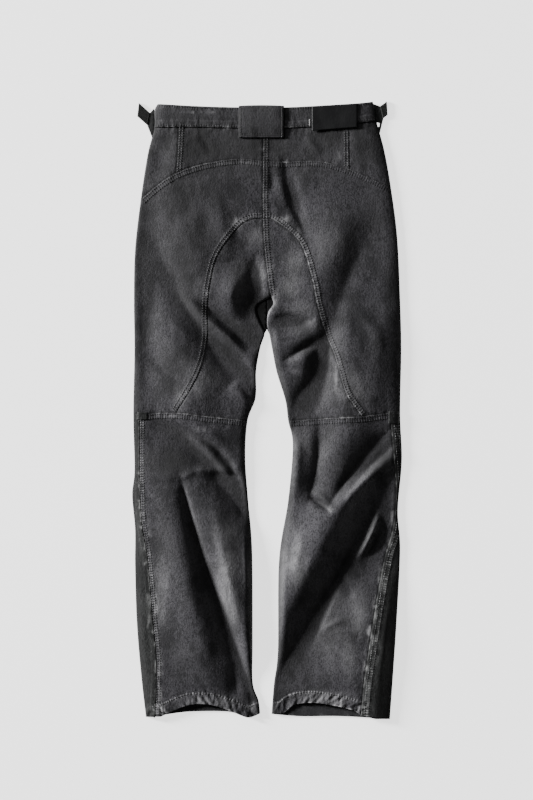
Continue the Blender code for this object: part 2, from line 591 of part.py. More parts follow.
def build_fronts():
    """The two front panels, flat on the table, from the waistband to the hem."""
    centre_top = FRONT_WAIST_SEAM[FRONT_CENTRE]
    for name, side, inner, hem, outseam, waist_end in (
            ("front_left", SIDE_LEFT, INNER_LEFT, FRONT_HEM_LEFT, OUTSEAM_LEFT, 0),
            ("front_right", SIDE_RIGHT, INNER_RIGHT, FRONT_HEM_RIGHT, OUTSEAM_RIGHT, FRONT_END)):
        waist = curve(FRONT_WAIST_SEAM, first=FRONT_CENTRE, last=waist_end)
        upper = curve(side, first=SIDE_WAIST, last=SIDE_KNEE)
        upper = upper[upper[:, 1] < waist[-1, 1] - NEAR]
        lower = strip_lines(side, outseam)[2]
        bottom = curve(hem, first=len(hem) - 1, last=0)
        bottom = bottom[np.abs(bottom[:, 0]) < abs(lower[-1, 0]) - NEAR]
        leg = curve(inner, first=INNER_FORK)
        flat_panel(name, loop(
            np.array([centre_top]), waist[1:], upper, lower, bottom[::-1], leg[::-1],
            np.array([FRONT_CROTCH])), 0.0, CLOTH)


def build_waistband(groups):
    """The band: one length over the back, two lengths flat underneath that meet at the button."""
    raised = BAND - CLOTH
    back_panel("waistband_back", loop(
        seam(WAIST_TOP), curve(SIDE_RIGHT, last=SIDE_WAIST), seam(WAIST_SEAM)[::-1],
        curve(SIDE_LEFT, first=SIDE_WAIST, last=0)), groups, raised, BAND)
    turn = np.radians(np.linspace(-90, 90, BITE_POINTS))
    bite = (BUTTON_RADIUS + SEAM_GAP / 2) * np.column_stack([np.cos(turn), np.sin(turn)])
    for name, end, facing in (("waistband_front_left", 0, -1),
                              ("waistband_front_right", FRONT_END, 1)):
        bottom = curve(FRONT_WAIST_SEAM, first=FRONT_CENTRE, last=end)
        top = curve(FRONT_WAIST_TOP, first=FRONT_CENTRE, last=end)
        button = np.array(BUTTON_AT) + bite * (facing, 1)
        flat_panel(name, loop(bottom[::-1], button, top), 0.0, BAND)


def build_belt_loop():
    """The wide loop at the centre back: sewn down on the yoke, over the band, and in over its top
    edge."""
    over_band = BAND - CLOTH + SEAM_GAP
    inner_end = LOOP_HIGH - LOOP_HOOK
    profile = [  # y, lift above the back, share of the loop's own wall
        (LOOP_LOW, SEAM_GAP, 1),
        (LOOP_LOW + LOOP_FOOT, SEAM_GAP, 1),
        (LOOP_STEP, over_band, 1),
        (LOOP_HIGH - LOOP_CROWN, over_band, 1),
        (LOOP_HIGH, over_band, 0),
        (LOOP_HIGH, -LOOP_HOOK, 0),
        (inner_end, -LOOP_HOOK, 0),
        (inner_end, over_band, 0),
        (LOOP_STEP, over_band, 0),
        (LOOP_LOW + LOOP_FOOT, SEAM_GAP, 0),
        (LOOP_LOW, SEAM_GAP, 0),
    ]
    sections = []
    for x in np.linspace(LOOP_RIGHT, LOOP_LEFT, LOOP_SECTIONS):
        at = np.array([(x, y) for y, _, _ in profile])
        z = height(at) + [lift + share * LOOP_WALL for _, lift, share in profile]
        sections.append(np.column_stack([at, z]))
    swept("center_loop", sections, COATED)


def build_trim(groups):
    """Patch, adjuster straps and tabs, fly shield and waist button."""
    laid_panel("patch", np.array(PATCH), groups, BAND - CLOTH + SEAM_GAP, PATCH_WALL, LEATHER)
    for name, outline, thick in (
            ("side_strap_left", STRAP_LEFT, STRAP),
            ("side_strap_right", STRAP_RIGHT, STRAP),
            ("side_tab_left", TAB_LEFT, BAND),
            ("side_tab_right", TAB_RIGHT, BAND)):
        flat_panel(name, loop(np.array(outline)), 0.0, thick)
    flat_panel("fly_shield", loop(np.array(FLY_SHIELD)), EDGE_TOP, CLOTH)
    turn = np.radians(np.arange(0, 360, BUTTON_TURN))
    disc = np.array(BUTTON_AT) + BUTTON_RADIUS * np.column_stack([np.cos(turn), np.sin(turn)])
    flat_panel("waist_button", disc, 0.0, BAND, METAL)


def main():
    """Clear the scene, then make every piece."""
    for old in list(bpy.data.objects):
        bpy.data.objects.remove(old, do_unlink=True)
    groups = guide_points()
    build_yoke(groups)
    build_seat(groups)
    build_saddle(groups)
    build_calf(groups)
    build_side_strips()
    build_fronts()
    build_waistband(groups)
    build_belt_loop()
    build_trim(groups)


main()
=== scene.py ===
# %% [markdown]
# # Coated jeans, laid flat with the back up
#
# The solids in the frame are the pattern pieces of the garment at their real size, but they are
# coarse. Here every piece is cut again from the same seam lines with points 2.6 mm apart, and half
# that along the seams, so there is room for what makes cloth look like cloth: lapped seams,
# puckers, small creases, stitches and worn edges. Everything is worked out in millimetres on the
# table plane, x from the centre back and y from the hems up, and scaled to metres only when a
# mesh is made.

# %% Load the frame
import math
from collections import namedtuple

import bpy
import numpy as np
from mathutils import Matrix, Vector, kdtree
from mathutils.bvhtree import BVHTree
from mathutils.geometry import delaunay_2d_cdt


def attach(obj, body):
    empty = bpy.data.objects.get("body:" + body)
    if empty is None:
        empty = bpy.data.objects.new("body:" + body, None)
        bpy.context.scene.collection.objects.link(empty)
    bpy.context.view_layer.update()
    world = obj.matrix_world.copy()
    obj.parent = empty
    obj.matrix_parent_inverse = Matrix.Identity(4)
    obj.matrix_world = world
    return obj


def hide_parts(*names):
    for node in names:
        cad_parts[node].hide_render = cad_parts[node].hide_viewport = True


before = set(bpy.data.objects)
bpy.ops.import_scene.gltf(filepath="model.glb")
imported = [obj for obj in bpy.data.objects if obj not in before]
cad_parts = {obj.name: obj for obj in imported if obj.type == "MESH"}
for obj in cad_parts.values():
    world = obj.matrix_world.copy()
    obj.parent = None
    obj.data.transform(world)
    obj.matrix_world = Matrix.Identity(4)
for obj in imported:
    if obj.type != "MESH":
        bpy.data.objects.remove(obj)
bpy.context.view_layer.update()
MM = 0.001
LENGTH = 1081.0      # hem to the tips of the side straps

# %% [markdown]
# ## Camera, floor and light
#
# A laid-out garment is photographed from straight above. A long lens far away keeps the outline
# free of perspective. Waxed cloth is nearly black and its folds are only a centimetre high, so the
# main light comes from far away and very low: the slopes that face it shine, and those that face
# away stay dark. The floor glows a little, as a light table does, so that it stays pale although
# the light only grazes it.

# %% Camera straight down
MM_PER_PIXEL = 1.75
PICTURE_HEIGHT = 800                # pixels
FRAME_HEIGHT = PICTURE_HEIGHT * MM_PER_PIXEL * MM
FRAME_CENTRE = (-0.0009, 0.01775)
CAMERA_UP = 5.0
SENSOR = 36.0

camera = bpy.data.objects.new("camera", bpy.data.cameras.new("camera"))
bpy.context.collection.objects.link(camera)
camera.location = (*FRAME_CENTRE, CAMERA_UP)
camera.data.sensor_width = SENSOR
camera.data.lens = SENSOR * CAMERA_UP / FRAME_HEIGHT
camera.data.clip_end = 6 * CAMERA_UP
bpy.context.scene.camera = camera
print("lens", round(camera.data.lens, 1), "mm for a view", round(FRAME_HEIGHT, 3), "m high")

# %% Floor
FLOOR_HALF = 3.0                    # metres
FLOOR_DROP = 0.0006                 # the floor lies a hair lower, so it never cuts the cloth
FLOOR_GLOW = 1.8
floor_mesh = bpy.data.meshes.new("floor")
floor_mesh.from_pydata([(x * FLOOR_HALF, y * FLOOR_HALF, 0)
                        for x, y in ((-1, -1), (1, -1), (1, 1), (-1, 1))], [], [(0, 1, 2, 3)])
pale = bpy.data.materials.new("pale_floor")
pale.use_nodes = True
white = pale.node_tree.nodes["Principled BSDF"]
white.inputs["Base Color"].default_value = (0.86, 0.86, 0.86, 1.0)
white.inputs["Roughness"].default_value = 0.9
white.inputs["Emission Color"].default_value = (1.0, 1.0, 1.0, 1.0)
white.inputs["Emission Strength"].default_value = FLOOR_GLOW
floor_mesh.materials.append(pale)
floor = bpy.data.objects.new("floor", floor_mesh)
floor.location.z = -FLOOR_DROP
bpy.context.collection.objects.link(floor)
print("a pale floor,", 2 * FLOOR_HALF, "m wide")

# %% Lights
LIGHTS = [
    # name, x, y, z in metres, size, power in watts
    ("raking_left", -10.4, 3.4, 2.15, 1.6, 6000.0),
    ("upper_left", -4.0, 7.0, 3.4, 2.0, 200.0),
    ("right_fill", 3.6, -1.6, 2.4, 1.6, 12.0),
]
for name, x, y, z, size, power in LIGHTS:
    lamp = bpy.data.objects.new(name, bpy.data.lights.new(name, "AREA"))
    lamp.data.size = size
    lamp.data.energy = power
    lamp.location = (x, y, z)
    lamp.rotation_euler = (-Vector((x, y, z))).to_track_quat("-Z", "Y").to_euler()
    bpy.context.collection.objects.link(lamp)

sky = bpy.data.worlds.new("studio")
bpy.context.scene.world = sky
sky.use_nodes = True
sky.node_tree.nodes["Background"].inputs["Color"].default_value = (1.0, 1.0, 1.0, 1.0)
sky.node_tree.nodes["Background"].inputs["Strength"].default_value = 0.03
print(len(LIGHTS), "lights and a faint sky")

# %% [markdown]
# ## Seam lines and folded sides
#
# A pair of jeans is a set of flat panels, and the seams are where two of them meet. Each line
# below is a few measured knots with a smooth curve through them. Neighbouring panels share their
# line, so they can't drift apart.

# %% Measured lines, in millimetres: (x, y)
WAIST_TOP = [(-191, 1076), (-122, 1072), (-50, 1070), (30, 1070), (78, 1072), (158, 1077),
             (185, 1080)]
WAIST_SEAM = [(-197, 1035), (-154, 1036), (-91, 1035), (-6, 1034), (77, 1036), (142, 1041),
              (191, 1047)]
YOKE_SEAM = [(-221, 909), (-192, 934), (-159, 955), (-112, 971), (-50, 980), (-7, 976),
             (34, 975), (89, 976), (143, 962), (180, 947), (217, 929)]
DART_LEFT = [(-154, 1036), (-156, 996), (-159, 955)]
DART_RIGHT = [(142, 1041), (143, 1001), (143, 962)]
CENTRE_BACK = [(-6, 1034), (-7, 976), (-7, 876), (-4, 821), (3, 763), (7, 739)]
SADDLE_LEFT = [(-7, 876), (-29, 874), (-50, 861), (-86, 813), (-99, 768), (-105, 719),
               (-104, 676), (-111, 631), (-127, 590), (-160, 536)]
SADDLE_RIGHT = [(-7, 876), (13, 873), (49, 844), (65, 818), (80, 765), (88, 723), (103, 674),
                (121, 628), (138, 570), (166, 530)]
KNEE_LEFT = [(-234, 534), (-223, 534), (-160, 536), (-107, 530), (-34, 522)]
KNEE_RIGHT = [(233, 536), (215, 536), (166, 530), (117, 527), (37, 522)]
OUTSEAM_LEFT = [(-223, 534), (-223, 444), (-220, 350), (-209, 278), (-200, 170), (-194, 103),
                (-196, 4)]
OUTSEAM_RIGHT = [(215, 536), (220, 480), (226, 392), (220, 334), (207, 287), (192, 212),
                 (171, 77), (164, 7)]
SIDE_LEFT = [(-191, 1076), (-197, 1064), (-197, 1035), (-209, 987), (-221, 909), (-231, 821),
             (-233, 733), (-232, 646), (-234, 534), (-232, 436), (-236, 392), (-231, 331),
             (-231, 270), (-228, 170), (-220, 74), (-212, 4)]
SIDE_RIGHT = [(185, 1080), (189, 1064), (191, 1047), (205, 996), (217, 929), (228, 842),
              (233, 733), (235, 646), (233, 536), (236, 453), (229, 366), (233, 296), (227, 173),
              (221, 82), (215, 0)]
INNER_LEFT = [(7, 739), (-17, 725), (-19, 710), (-10, 688), (-4, 675), (-12, 649), (-19, 609),
              (-20, 562), (-34, 522), (-38, 457), (-33, 383), (-26, 296), (-25, 138), (-25, 65),
              (-15, 33), (-12, 10)]
INNER_RIGHT = [(7, 739), (11, 727), (2, 712), (0, 690), (4, 674), (10, 642), (17, 607),
               (32, 558), (37, 522), (45, 478), (37, 383), (21, 278), (19, 121), (12, 61), (8, 9)]
HEM_LEFT = [(-196, 4), (-173, 11), (-141, 24), (-116, 27), (-88, 23), (-60, 13), (-33, 3),
            (-12, 10)]
HEM_RIGHT = [(164, 7), (152, 15), (118, 24), (79, 29), (47, 25), (30, 12), (8, 9)]
FRONT_HEM_LEFT = [(-212, 4), (-184, 7), (-135, 13), (-68, 13), (-37, 4), (-12, 10)]
FRONT_HEM_RIGHT = [(215, 0), (130, 5), (58, 5), (8, 9)]
FRONT_WAIST_TOP = [(-193, 1070), (-120, 1056), (0, 1048), (115, 1058), (187, 1073)]
FRONT_WAIST_SEAM = [(-197, 1037), (-125, 1018), (0, 1009), (120, 1020), (191, 1049)]
FRONT_CROTCH = (0, 682)
EDGE_STEP = 1.8      # spacing of points along an outline
LINE_STEP = 5.0      # spacing of points along a line that distances are measured to

# %% Smooth curves through the knots
SAME_POINT = 0.3     # ends nearer than this are one point


def between(p0, p1, p2, p3, t):
    """Point at t on the smooth span p1 to p2 of a curve through four knots."""
    a, b = 2.0 * p1, p2 - p0
    c = 2.0 * p0 - 5.0 * p1 + 4.0 * p2 - p3
    d = 3.0 * p1 - p0 - 3.0 * p2 + p3
    return 0.5 * (a + b * t + c * t * t + d * t ** 3)


def curve(knots, step=EDGE_STEP, first=0, last=None):
    """Points about a step apart from knot first to knot last, backwards where last is before."""
    k = np.array(knots, float)
    last = len(k) - 1 if last is None else last
    low, high = min(first, last), max(first, last)
    points = []
    for i in range(low, high):
        p0, p3 = k[max(i - 1, 0)], k[min(i + 2, len(k) - 1)]
        count = max(1, round(np.linalg.norm(k[i + 1] - k[i]) / step))
        points += [between(p0, k[i], k[i + 1], p3, n / count) for n in range(count)]
    points = np.array(points + [k[high]])
    return points if first <= last else points[::-1]


def signed_area(points):
    """Area of a closed outline in square millimetres, positive when it runs anticlockwise."""
    ahead = np.roll(points, -1, axis=0)
    return 0.5 * np.sum(points[:, 0] * ahead[:, 1] - ahead[:, 0] * points[:, 1])


def loop(*parts):
    """One closed outline, anticlockwise, from curves laid end to end."""
    joined = [parts[0]]
    for part in parts[1:]:
        same = np.linalg.norm(part[0] - joined[-1][-1]) < SAME_POINT
        joined.append(part[1:] if same else part)
    points = np.vstack(joined).astype(float)
    if np.linalg.norm(points[0] - points[-1]) < SAME_POINT:
        points = points[:-1]
    return points if signed_area(points) > 0 else points[::-1]


def outline_area(points):
    """Area of a closed outline in square metres."""
    return abs(signed_area(points)) * MM * MM


SIDES = [
    # folded side, how far in the cloth takes to reach its full height
    (curve(SIDE_LEFT, LINE_STEP), 20.0),
    (curve(SIDE_RIGHT, LINE_STEP), 22.0),
    (curve(INNER_LEFT, LINE_STEP), 15.0),
    (curve(INNER_RIGHT, LINE_STEP), 15.0),
]
print("folded sides:", [len(line) for line, _ in SIDES], "points")

# %% [markdown]
# ## How the cloth lies
#
# The front panels lie on the table and the back lies on them with a little air between. Its
# height is a plateau that rounds off to the folded sides, plus a fold wherever the cloth stands
# up or sinks. A fold is a bowed line with a height and a spread to each side of it, and one
# steep side makes it crisp. The large ones are the same as in the solids, the small ones are
# added here.

# %% Large folds, the same as in the solids
CLOTH = 1.2          # thickness of the cloth
BAND = 2.4           # and of the waistband, which is folded in two
PLATEAU = 5.9        # outer face of the back where no fold lifts it
EDGE_TOP = 1.25      # and where it meets the front at a folded side
HEM_DEPTH = 21.0     # how far up the turned hem reaches
FOLDS = [
    # x0, y0, x1, y1, bow, height, spread to the left and right of the way along it, power
    (-124, 908, -124, 523, 0, 5.0, 70, 60, 2.0),             # fulness of the legs
    (121, 908, 128, 514, 0, 5.0, 56, 70, 2.0),
    (-135, 646, -107, 12, 0, 6.5, 56, 56, 2.0),
    (117, 611, 121, -9, 0, 5.5, 56, 56, 2.0),
    (247, 467, -37, -54, -3, -11.5, 38, 14, 1.2),            # right calf: the long crease
    (201, 516, -47, 26, -6, 9.5, 27, 42, 2.0),               # the mound above it
    (219, 261, 177, -54, 0, 5.0, 16, 60, 1.7),               # the rise to the outer seam
    (200, 380, 158, 278, 5, 6.0, 9, 9, 1.5),                 # a finger at its upper end
    (205, 334, 178, 282, 0, -3.5, 9, 7, 1.5),
    (226, 516, 100, 359, -8, -9.5, 14, 15, 1.2),             # the shelf under the knee
    (177, 527, 68, 397, -8, 3.5, 22, 28, 1.9),
    (233, 471, 117, 352, -8, 4.5, 14, 10, 1.6),
    (44, 527, 51, 383, -4, 6.0, 18, 10, 1.8),                # along the inner side
    (89, 537, 65, 362, 10, -8.0, 34, 11, 1.1),
    (72, 390, 114, 360, 0, -3.5, 6, 7, 1.5),
    (-156, 446, 12, -33, -16, -12.0, 11, 13, 1.2),           # left calf: the long crease
    (-191, 471, -61, -9, -14, 4.5, 22, 34, 1.9),
    (-96, 418, -2, 51, -13, 6.5, 34, 16, 1.7),
    (-229, 544, -19, 331, 26, -11.5, 13, 26, 1.3),           # the arc under the knee
    (-124, 434, -47, 429, 4, 4.0, 10, 9, 1.7),
    (-61, 100, -52, 37, 0, -4.0, 10, 10, 1.6),
    (-226, 852, -9, 551, -8, -10.5, 32, 22, 1.4),            # left thigh
    (-205, 698, -82, 576, -4, 3.0, 20, 30, 1.8),
    (-166, 765, -37, 642, -6, 6.0, 12, 22, 1.7),
    (-131, 733, 2, 635, 8, -7.5, 7, 15, 1.1),
    (-19, 817, 10, 639, -12, -12.5, 8, 22, 1.15),            # beside the crotch
    (-65, 800, -58, 695, 0, 5.0, 18, 22, 1.8),
    (-61, 676, 16, 670, 0, -5.0, 10, 12, 1.4),
    (-61, 590, -19, 551, 0, 5.0, 14, 20, 1.8),
    (107, 712, 26, 481, 16, -13.5, 34, 17, 1.15),            # right thigh
    (54, 681, 68, 558, 4, 4.0, 18, 24, 1.8),
    (149, 733, 138, 471, 0, 5.5, 66, 30, 1.9),
    (2, 690, 86, 698, 0, -8.0, 9, 13, 1.4),
    (103, 663, 23, 621, -4, -6.0, 8, 13, 1.3),
    (194, 877, 110, 642, -14, -5.5, 30, 26, 1.5),
    (208, 751, 184, 523, 0, 2.0, 20, 20, 1.8),
    (28, 989, 72, 838, -6, -6.0, 16, 8, 1.2),                # seat
    (110, 926, 96, 733, 0, 2.5, 50, 40, 1.8),
    (-152, 943, -124, 768, 0, 2.5, 50, 44, 1.8),
    (-93, 915, -68, 800, 4, 2.5, 14, 20, 1.8),
    (-212, 968, -212, 523, 0, -5.0, 24, 16, 1.8),
    (-173, 1034, -205, 926, 0, -3.0, 20, 20, 1.8),
]

# %% Small folds, too fine for the solids
CREASES = [
    # x0, y0, x1, y1, bow, height, spread to the left and right
    (-106, 702, -28, 626, 3, 2.6, 8, 6),                     # left thigh
    (-108, 676, -14, 566, 4, -4.2, 12, 5),
    (-98, 724, -8, 640, 6, -2.2, 6, 6),
    (-70, 728, -22, 792, 4, 2.2, 12, 12),
    (-16, 800, -18, 706, -3, -3.0, 7, 4),
    (-54, 584, -20, 544, 5, -3.0, 8, 7),
    (-212, 646, -138, 586, -8, -2.2, 14, 10),
    (-196, 710, -130, 660, 5, 1.4, 10, 9),
    (-50, 620, -24, 600, 0, -1.6, 6, 6),
    (2, 700, 62, 704, 2, -2.0, 6, 6),                        # right thigh
    (16, 618, 62, 609, 0, -1.8, 6, 6),
    (108, 694, 50, 528, 10, -3.0, 9, 8),
    (98, 664, 40, 632, -3, -1.8, 6, 7),
    (150, 720, 205, 640, 6, 1.4, 11, 10),
    (4, 968, 6, 915, 4, -1.4, 6, 8),                         # seat
    (40, 960, 58, 880, -3, -1.8, 8, 5),
    (22, 950, 34, 890, 0, 1.4, 8, 8),
    (-120, 1020, -96, 985, 3, -1.1, 6, 7),
    (70, 1020, 96, 990, -3, 1.2, 7, 7),
    (-205, 516, -42, 336, 58, -5.0, 7, 9),                   # left calf, the arc under the knee
    (-190, 500, -70, 400, 30, 2.4, 14, 14),
    (-134, 516, -38, 446, 8, 1.6, 5, 5),
    (-112, 500, -40, 452, 6, -1.2, 4, 4),
    (-160, 414, -104, 438, 4, 1.2, 6, 6),
    (-148, 414, -116, 300, -3, -2.6, 4, 5),
    (-152, 432, -86, 190, -8, -2.4, 5, 7),
    (-206, 416, -120, 424, -6, -0.6, 6, 6),
    (-168, 108, -102, 92, 8, 1.6, 14, 12),
    (-88, 250, -66, 180, 4, 1.3, 8, 8),
    (-40, 330, -34, 200, 0, 1.6, 6, 5),
    (230, 488, 126, 382, -3, -4.5, 8, 12),                   # right calf
    (74, 390, 112, 362, 2, -3.0, 5, 5),
    (78, 400, 116, 370, 2, 1.5, 5, 4),
    (47, 294, 77, 280, -3, -1.6, 6, 8),
    (60, 330, 46, 250, 3, 1.4, 8, 8),
    (198, 360, 150, 270, 4, 3.6, 7, 7),
    (210, 346, 172, 282, 4, -2.4, 6, 6),
    (160, 300, 36, 40, 3, 2.4, 16, 7),
    (112, 174, 160, 148, -8, 2.0, 8, 10),
    (120, 250, 150, 210, 4, -1.2, 8, 9),
    (96, 150, 140, 172, 6, 1.4, 6, 5),
]
CREASE_POWER = 1.7   # every crease has the same roundness
print(len(FOLDS), "large folds and", len(CREASES), "creases")


# %% Distances and the height of a fold
def nearest(points, line, chunk=3000):
    """Distance of each point to a line, its side (+1 to the left), and how far along it is."""
    start, step = line[:-1], np.diff(line, axis=0)
    size = np.sum(step ** 2, axis=1)
    run = np.concatenate([[0.0], np.cumsum(np.sqrt(size))])
    found = []
    for first in range(0, len(points), chunk):
        away = points[first:first + chunk, None, :] - start[None]
        t = np.clip(np.sum(away * step[None], axis=2) / size, 0.0, 1.0)
        gap = np.sum((away - t[..., None] * step[None]) ** 2, axis=2)
        best = np.argmin(gap, axis=1)
        row = np.arange(len(best))
        side = step[best, 0] * away[row, best, 1] - step[best, 1] * away[row, best, 0]
        along = run[best] + t[row, best] * np.sqrt(size[best])
        found.append(np.stack([np.sqrt(gap[row, best]), np.sign(side), along]))
    return np.hstack(found)


FOLD_REACH = 3.6     # a fold is gone at this many times its wider side


def fold(points, row):
    """What one fold adds to the height at each point."""
    x0, y0, x1, y1, bow, high, left, right, power = row
    a, b = np.array([x0, y0], float), np.array([x1, y1], float)
    way = (b - a) / np.linalg.norm(b - a)
    middle = (a + b) / 2 + 2 * bow * np.array([-way[1], way[0]])
    t = np.linspace(0.0, 1.0, 16)[:, None]
    line = (1 - t) ** 2 * a + 2 * t * (1 - t) * middle + t ** 2 * b
    added = np.zeros(len(points))
    reach = FOLD_REACH * max(left, right) + 2 * abs(bow)
    low, top = line.min(axis=0) - reach, line.max(axis=0) + reach
    near = np.all((points > low) & (points < top), axis=1)
    if near.any():
        gap, side, along = nearest(points[near], line)
        share = along / np.sum(np.linalg.norm(np.diff(line, axis=0), axis=1))
        fade = np.clip(4.0 * share * (1.0 - share), 0.0, 1.0) ** 1.2
        added[near] = high * fade * np.exp(-(gap / np.where(side > 0, left, right)) ** power)
    return added


def quarter(t):
    """A quarter circle from 0 at t = 0 to 1 at t = 1."""
    return np.sqrt(1.0 - (1.0 - np.clip(t, 0.0, 1.0)) ** 2)


def to_sides(points):
    """How near each point is to a folded side, and the share of the full height it has there."""
    near, rise = np.full(len(points), 1e9), np.ones(len(points))
    for line, round_off in SIDES:
        gap = nearest(points, line)[0]
        near = np.minimum(near, gap)
        rise = np.minimum(rise, quarter(gap / round_off))
    return near, rise


# %% [markdown]
# Between the folds cloth is never level. A smooth random field gives that: a grid of fixed random
# numbers with a soft blend between them, stretched and turned as wanted. The same function later
# makes the puckers along the seams and breaks up the worn places. The seed is fixed, so the
# garment is the same every time.

# %% Random unevenness and the whole height
GRID = 128           # lumps before the random field repeats
DEEPEST = 10.0       # a fold this deep counts as fully in the dark
LAYERS_APART = 0.24  # least air between the back's inner face and the front


def uneven(u, v, seed):
    """Smooth random numbers from -1 to 1 with lumps one unit wide."""
    grid = np.random.default_rng(seed).uniform(-1, 1, (GRID, GRID))
    i, j = np.floor(u).astype(int), np.floor(v).astype(int)
    a, b = u - i, v - j
    a, b = a * a * (3 - 2 * a), b * b * (3 - 2 * b)

    def pick(m, n):
        return grid[(i + m) % GRID, (j + n) % GRID]

    return ((pick(0, 0) * (1 - a) + pick(1, 0) * a) * (1 - b)
            + (pick(0, 1) * (1 - a) + pick(1, 1) * a) * b)


def smooth(low, high, value):
    """0 below low, 1 above high, soft in between."""
    t = np.clip((value - low) / (high - low), 0.0, 1.0)
    return t * t * (3 - 2 * t)


def hem_wall(points):
    """Thickness of the back's cloth: more where the hem is turned under."""
    best = np.min([nearest(points, curve(line, LINE_STEP))[0] for line in (HEM_LEFT, HEM_RIGHT)], axis=0)
    return CLOTH + smooth(HEM_DEPTH, HEM_DEPTH - 3.0, best)


def cloth_height(points):
    """Outer face of the back without its seams, how near a side each point is, and how deep in a fold it
    lies, for painted shade.
    """
    x, y = points[:, 0], points[:, 1]
    near, rise = to_sides(points)
    lifted, hollow_shade = np.zeros(len(points)), np.zeros(len(points))
    for row in (*FOLDS, *((*row, CREASE_POWER) for row in CREASES)):
        added = fold(points, row)
        lifted += added
        hollow_shade -= np.minimum(added, 0.0)
    # slack, ripples and dimples, each finer and lower than the one before
    lifted += 0.55 * uneven(x / 58 + y / 190, y / 92, 3)
    lifted += 0.34 * uneven(x / 24 - y / 80, y / 38 + x / 60, 4)
    lifted += 0.13 * uneven(x / 9, y / 17 + x / 30, 5)
    raised = (PLATEAU - EDGE_TOP + lifted) * rise
    # however deep a fold, the cloth stays above the front, with a soft bend where it would touch
    blend = quarter(near / 3.0)
    least = (hem_wall(points) + LAYERS_APART) * blend
    over = raised - least
    height = EDGE_TOP + least + 0.5 * (over + np.sqrt(over ** 2 + blend ** 2))
    return height, near, np.clip(hollow_shade / DEEPEST, 0.0, 1.0)


# %% [markdown]
# ## Lapped seams
#
# The seams of jeans are lapped: one panel lies over the edge of the other and two rows of
# stitches hold it. The lap is hardly thicker than the cloth beside it, but every stitch pulls it
# in, so a row of small ribs runs along it, and because the two layers shrink differently in the
# wash it puckers as well. The wax rubs off wherever it stands proud, so ribs and puckers turn
# pale. Each seam therefore adds three things at a point: height, a worn mask, and a mask of
# painted shade for the groove under the lap and for the needle holes.

# %% Seams and what each of them does
Seam = namedtuple("Seam", "line lap width rows pucker length wear")
SEAMS = {
    # name: line, height and width of the lap, distances of its rows of stitches (on the panel
    # under the lap where negative), height and length of its puckers, wear
    "waist": Seam(WAIST_SEAM, 0.35, 11.0, (2.4,), 0.40, 6.0, 0.50),
    "yoke": Seam(YOKE_SEAM, 0.30, 10.0, (2.2, 8.6), 0.28, 8.0, 0.58),
    "dart_left": Seam(DART_LEFT, 0.25, 8.5, (2.0, 7.0), 0.20, 8.0, 0.30),
    "dart_right": Seam(DART_RIGHT, 0.25, 8.5, (2.0, 7.0), 0.20, 8.0, 0.50),
    "centre": Seam(CENTRE_BACK, 0.25, 8.5, (2.0, 7.2), 0.22, 8.0, 0.45),
    "saddle_left": Seam(SADDLE_LEFT, 0.30, 9.0, (2.2, 7.8), 0.22, 8.0, 0.70),
    "saddle_right": Seam(SADDLE_RIGHT, 0.30, 9.0, (2.2, 7.8), 0.22, 8.0, 0.75),
    "knee_left": Seam(KNEE_LEFT, 0.35, 10.5, (2.4, 9.0), 0.32, 8.0, 0.50),
    "knee_right": Seam(KNEE_RIGHT, 0.35, 10.5, (2.4, 9.0), 0.32, 8.0, 0.55),
    "outseam_left": Seam(OUTSEAM_LEFT, 0.30, 8.0, (-2.4, -7.0), 0.30, 8.0, 1.10),
    "outseam_right": Seam(OUTSEAM_RIGHT, 0.35, 15.0, (5.5, 12.5), 0.35, 8.0, 1.10),
    "hem_left": Seam(HEM_LEFT, 0.35, 20.0, (18.5,), 1.00, 6.5, 0.95),
    "hem_right": Seam(HEM_RIGHT, 0.35, 20.0, (18.5,), 1.00, 6.5, 0.95),
}
UNDER_SIDE = {  # the side of the line, +1 to its left, on which the panel under the lap lies
    "waist": -1, "yoke": 1, "dart_left": -1, "dart_right": 1, "centre": -1, "saddle_left": 1,
    "saddle_right": -1, "knee_left": 1, "knee_right": -1, "outseam_left": 1, "outseam_right": -1}
STITCH_PITCH = 4.4
RIB = 0.16           # how far the cloth stands up under each stitch
SEAM_REACH = 34.0    # farther than this from a seam nothing of it shows
print(len(SEAMS), "seams")
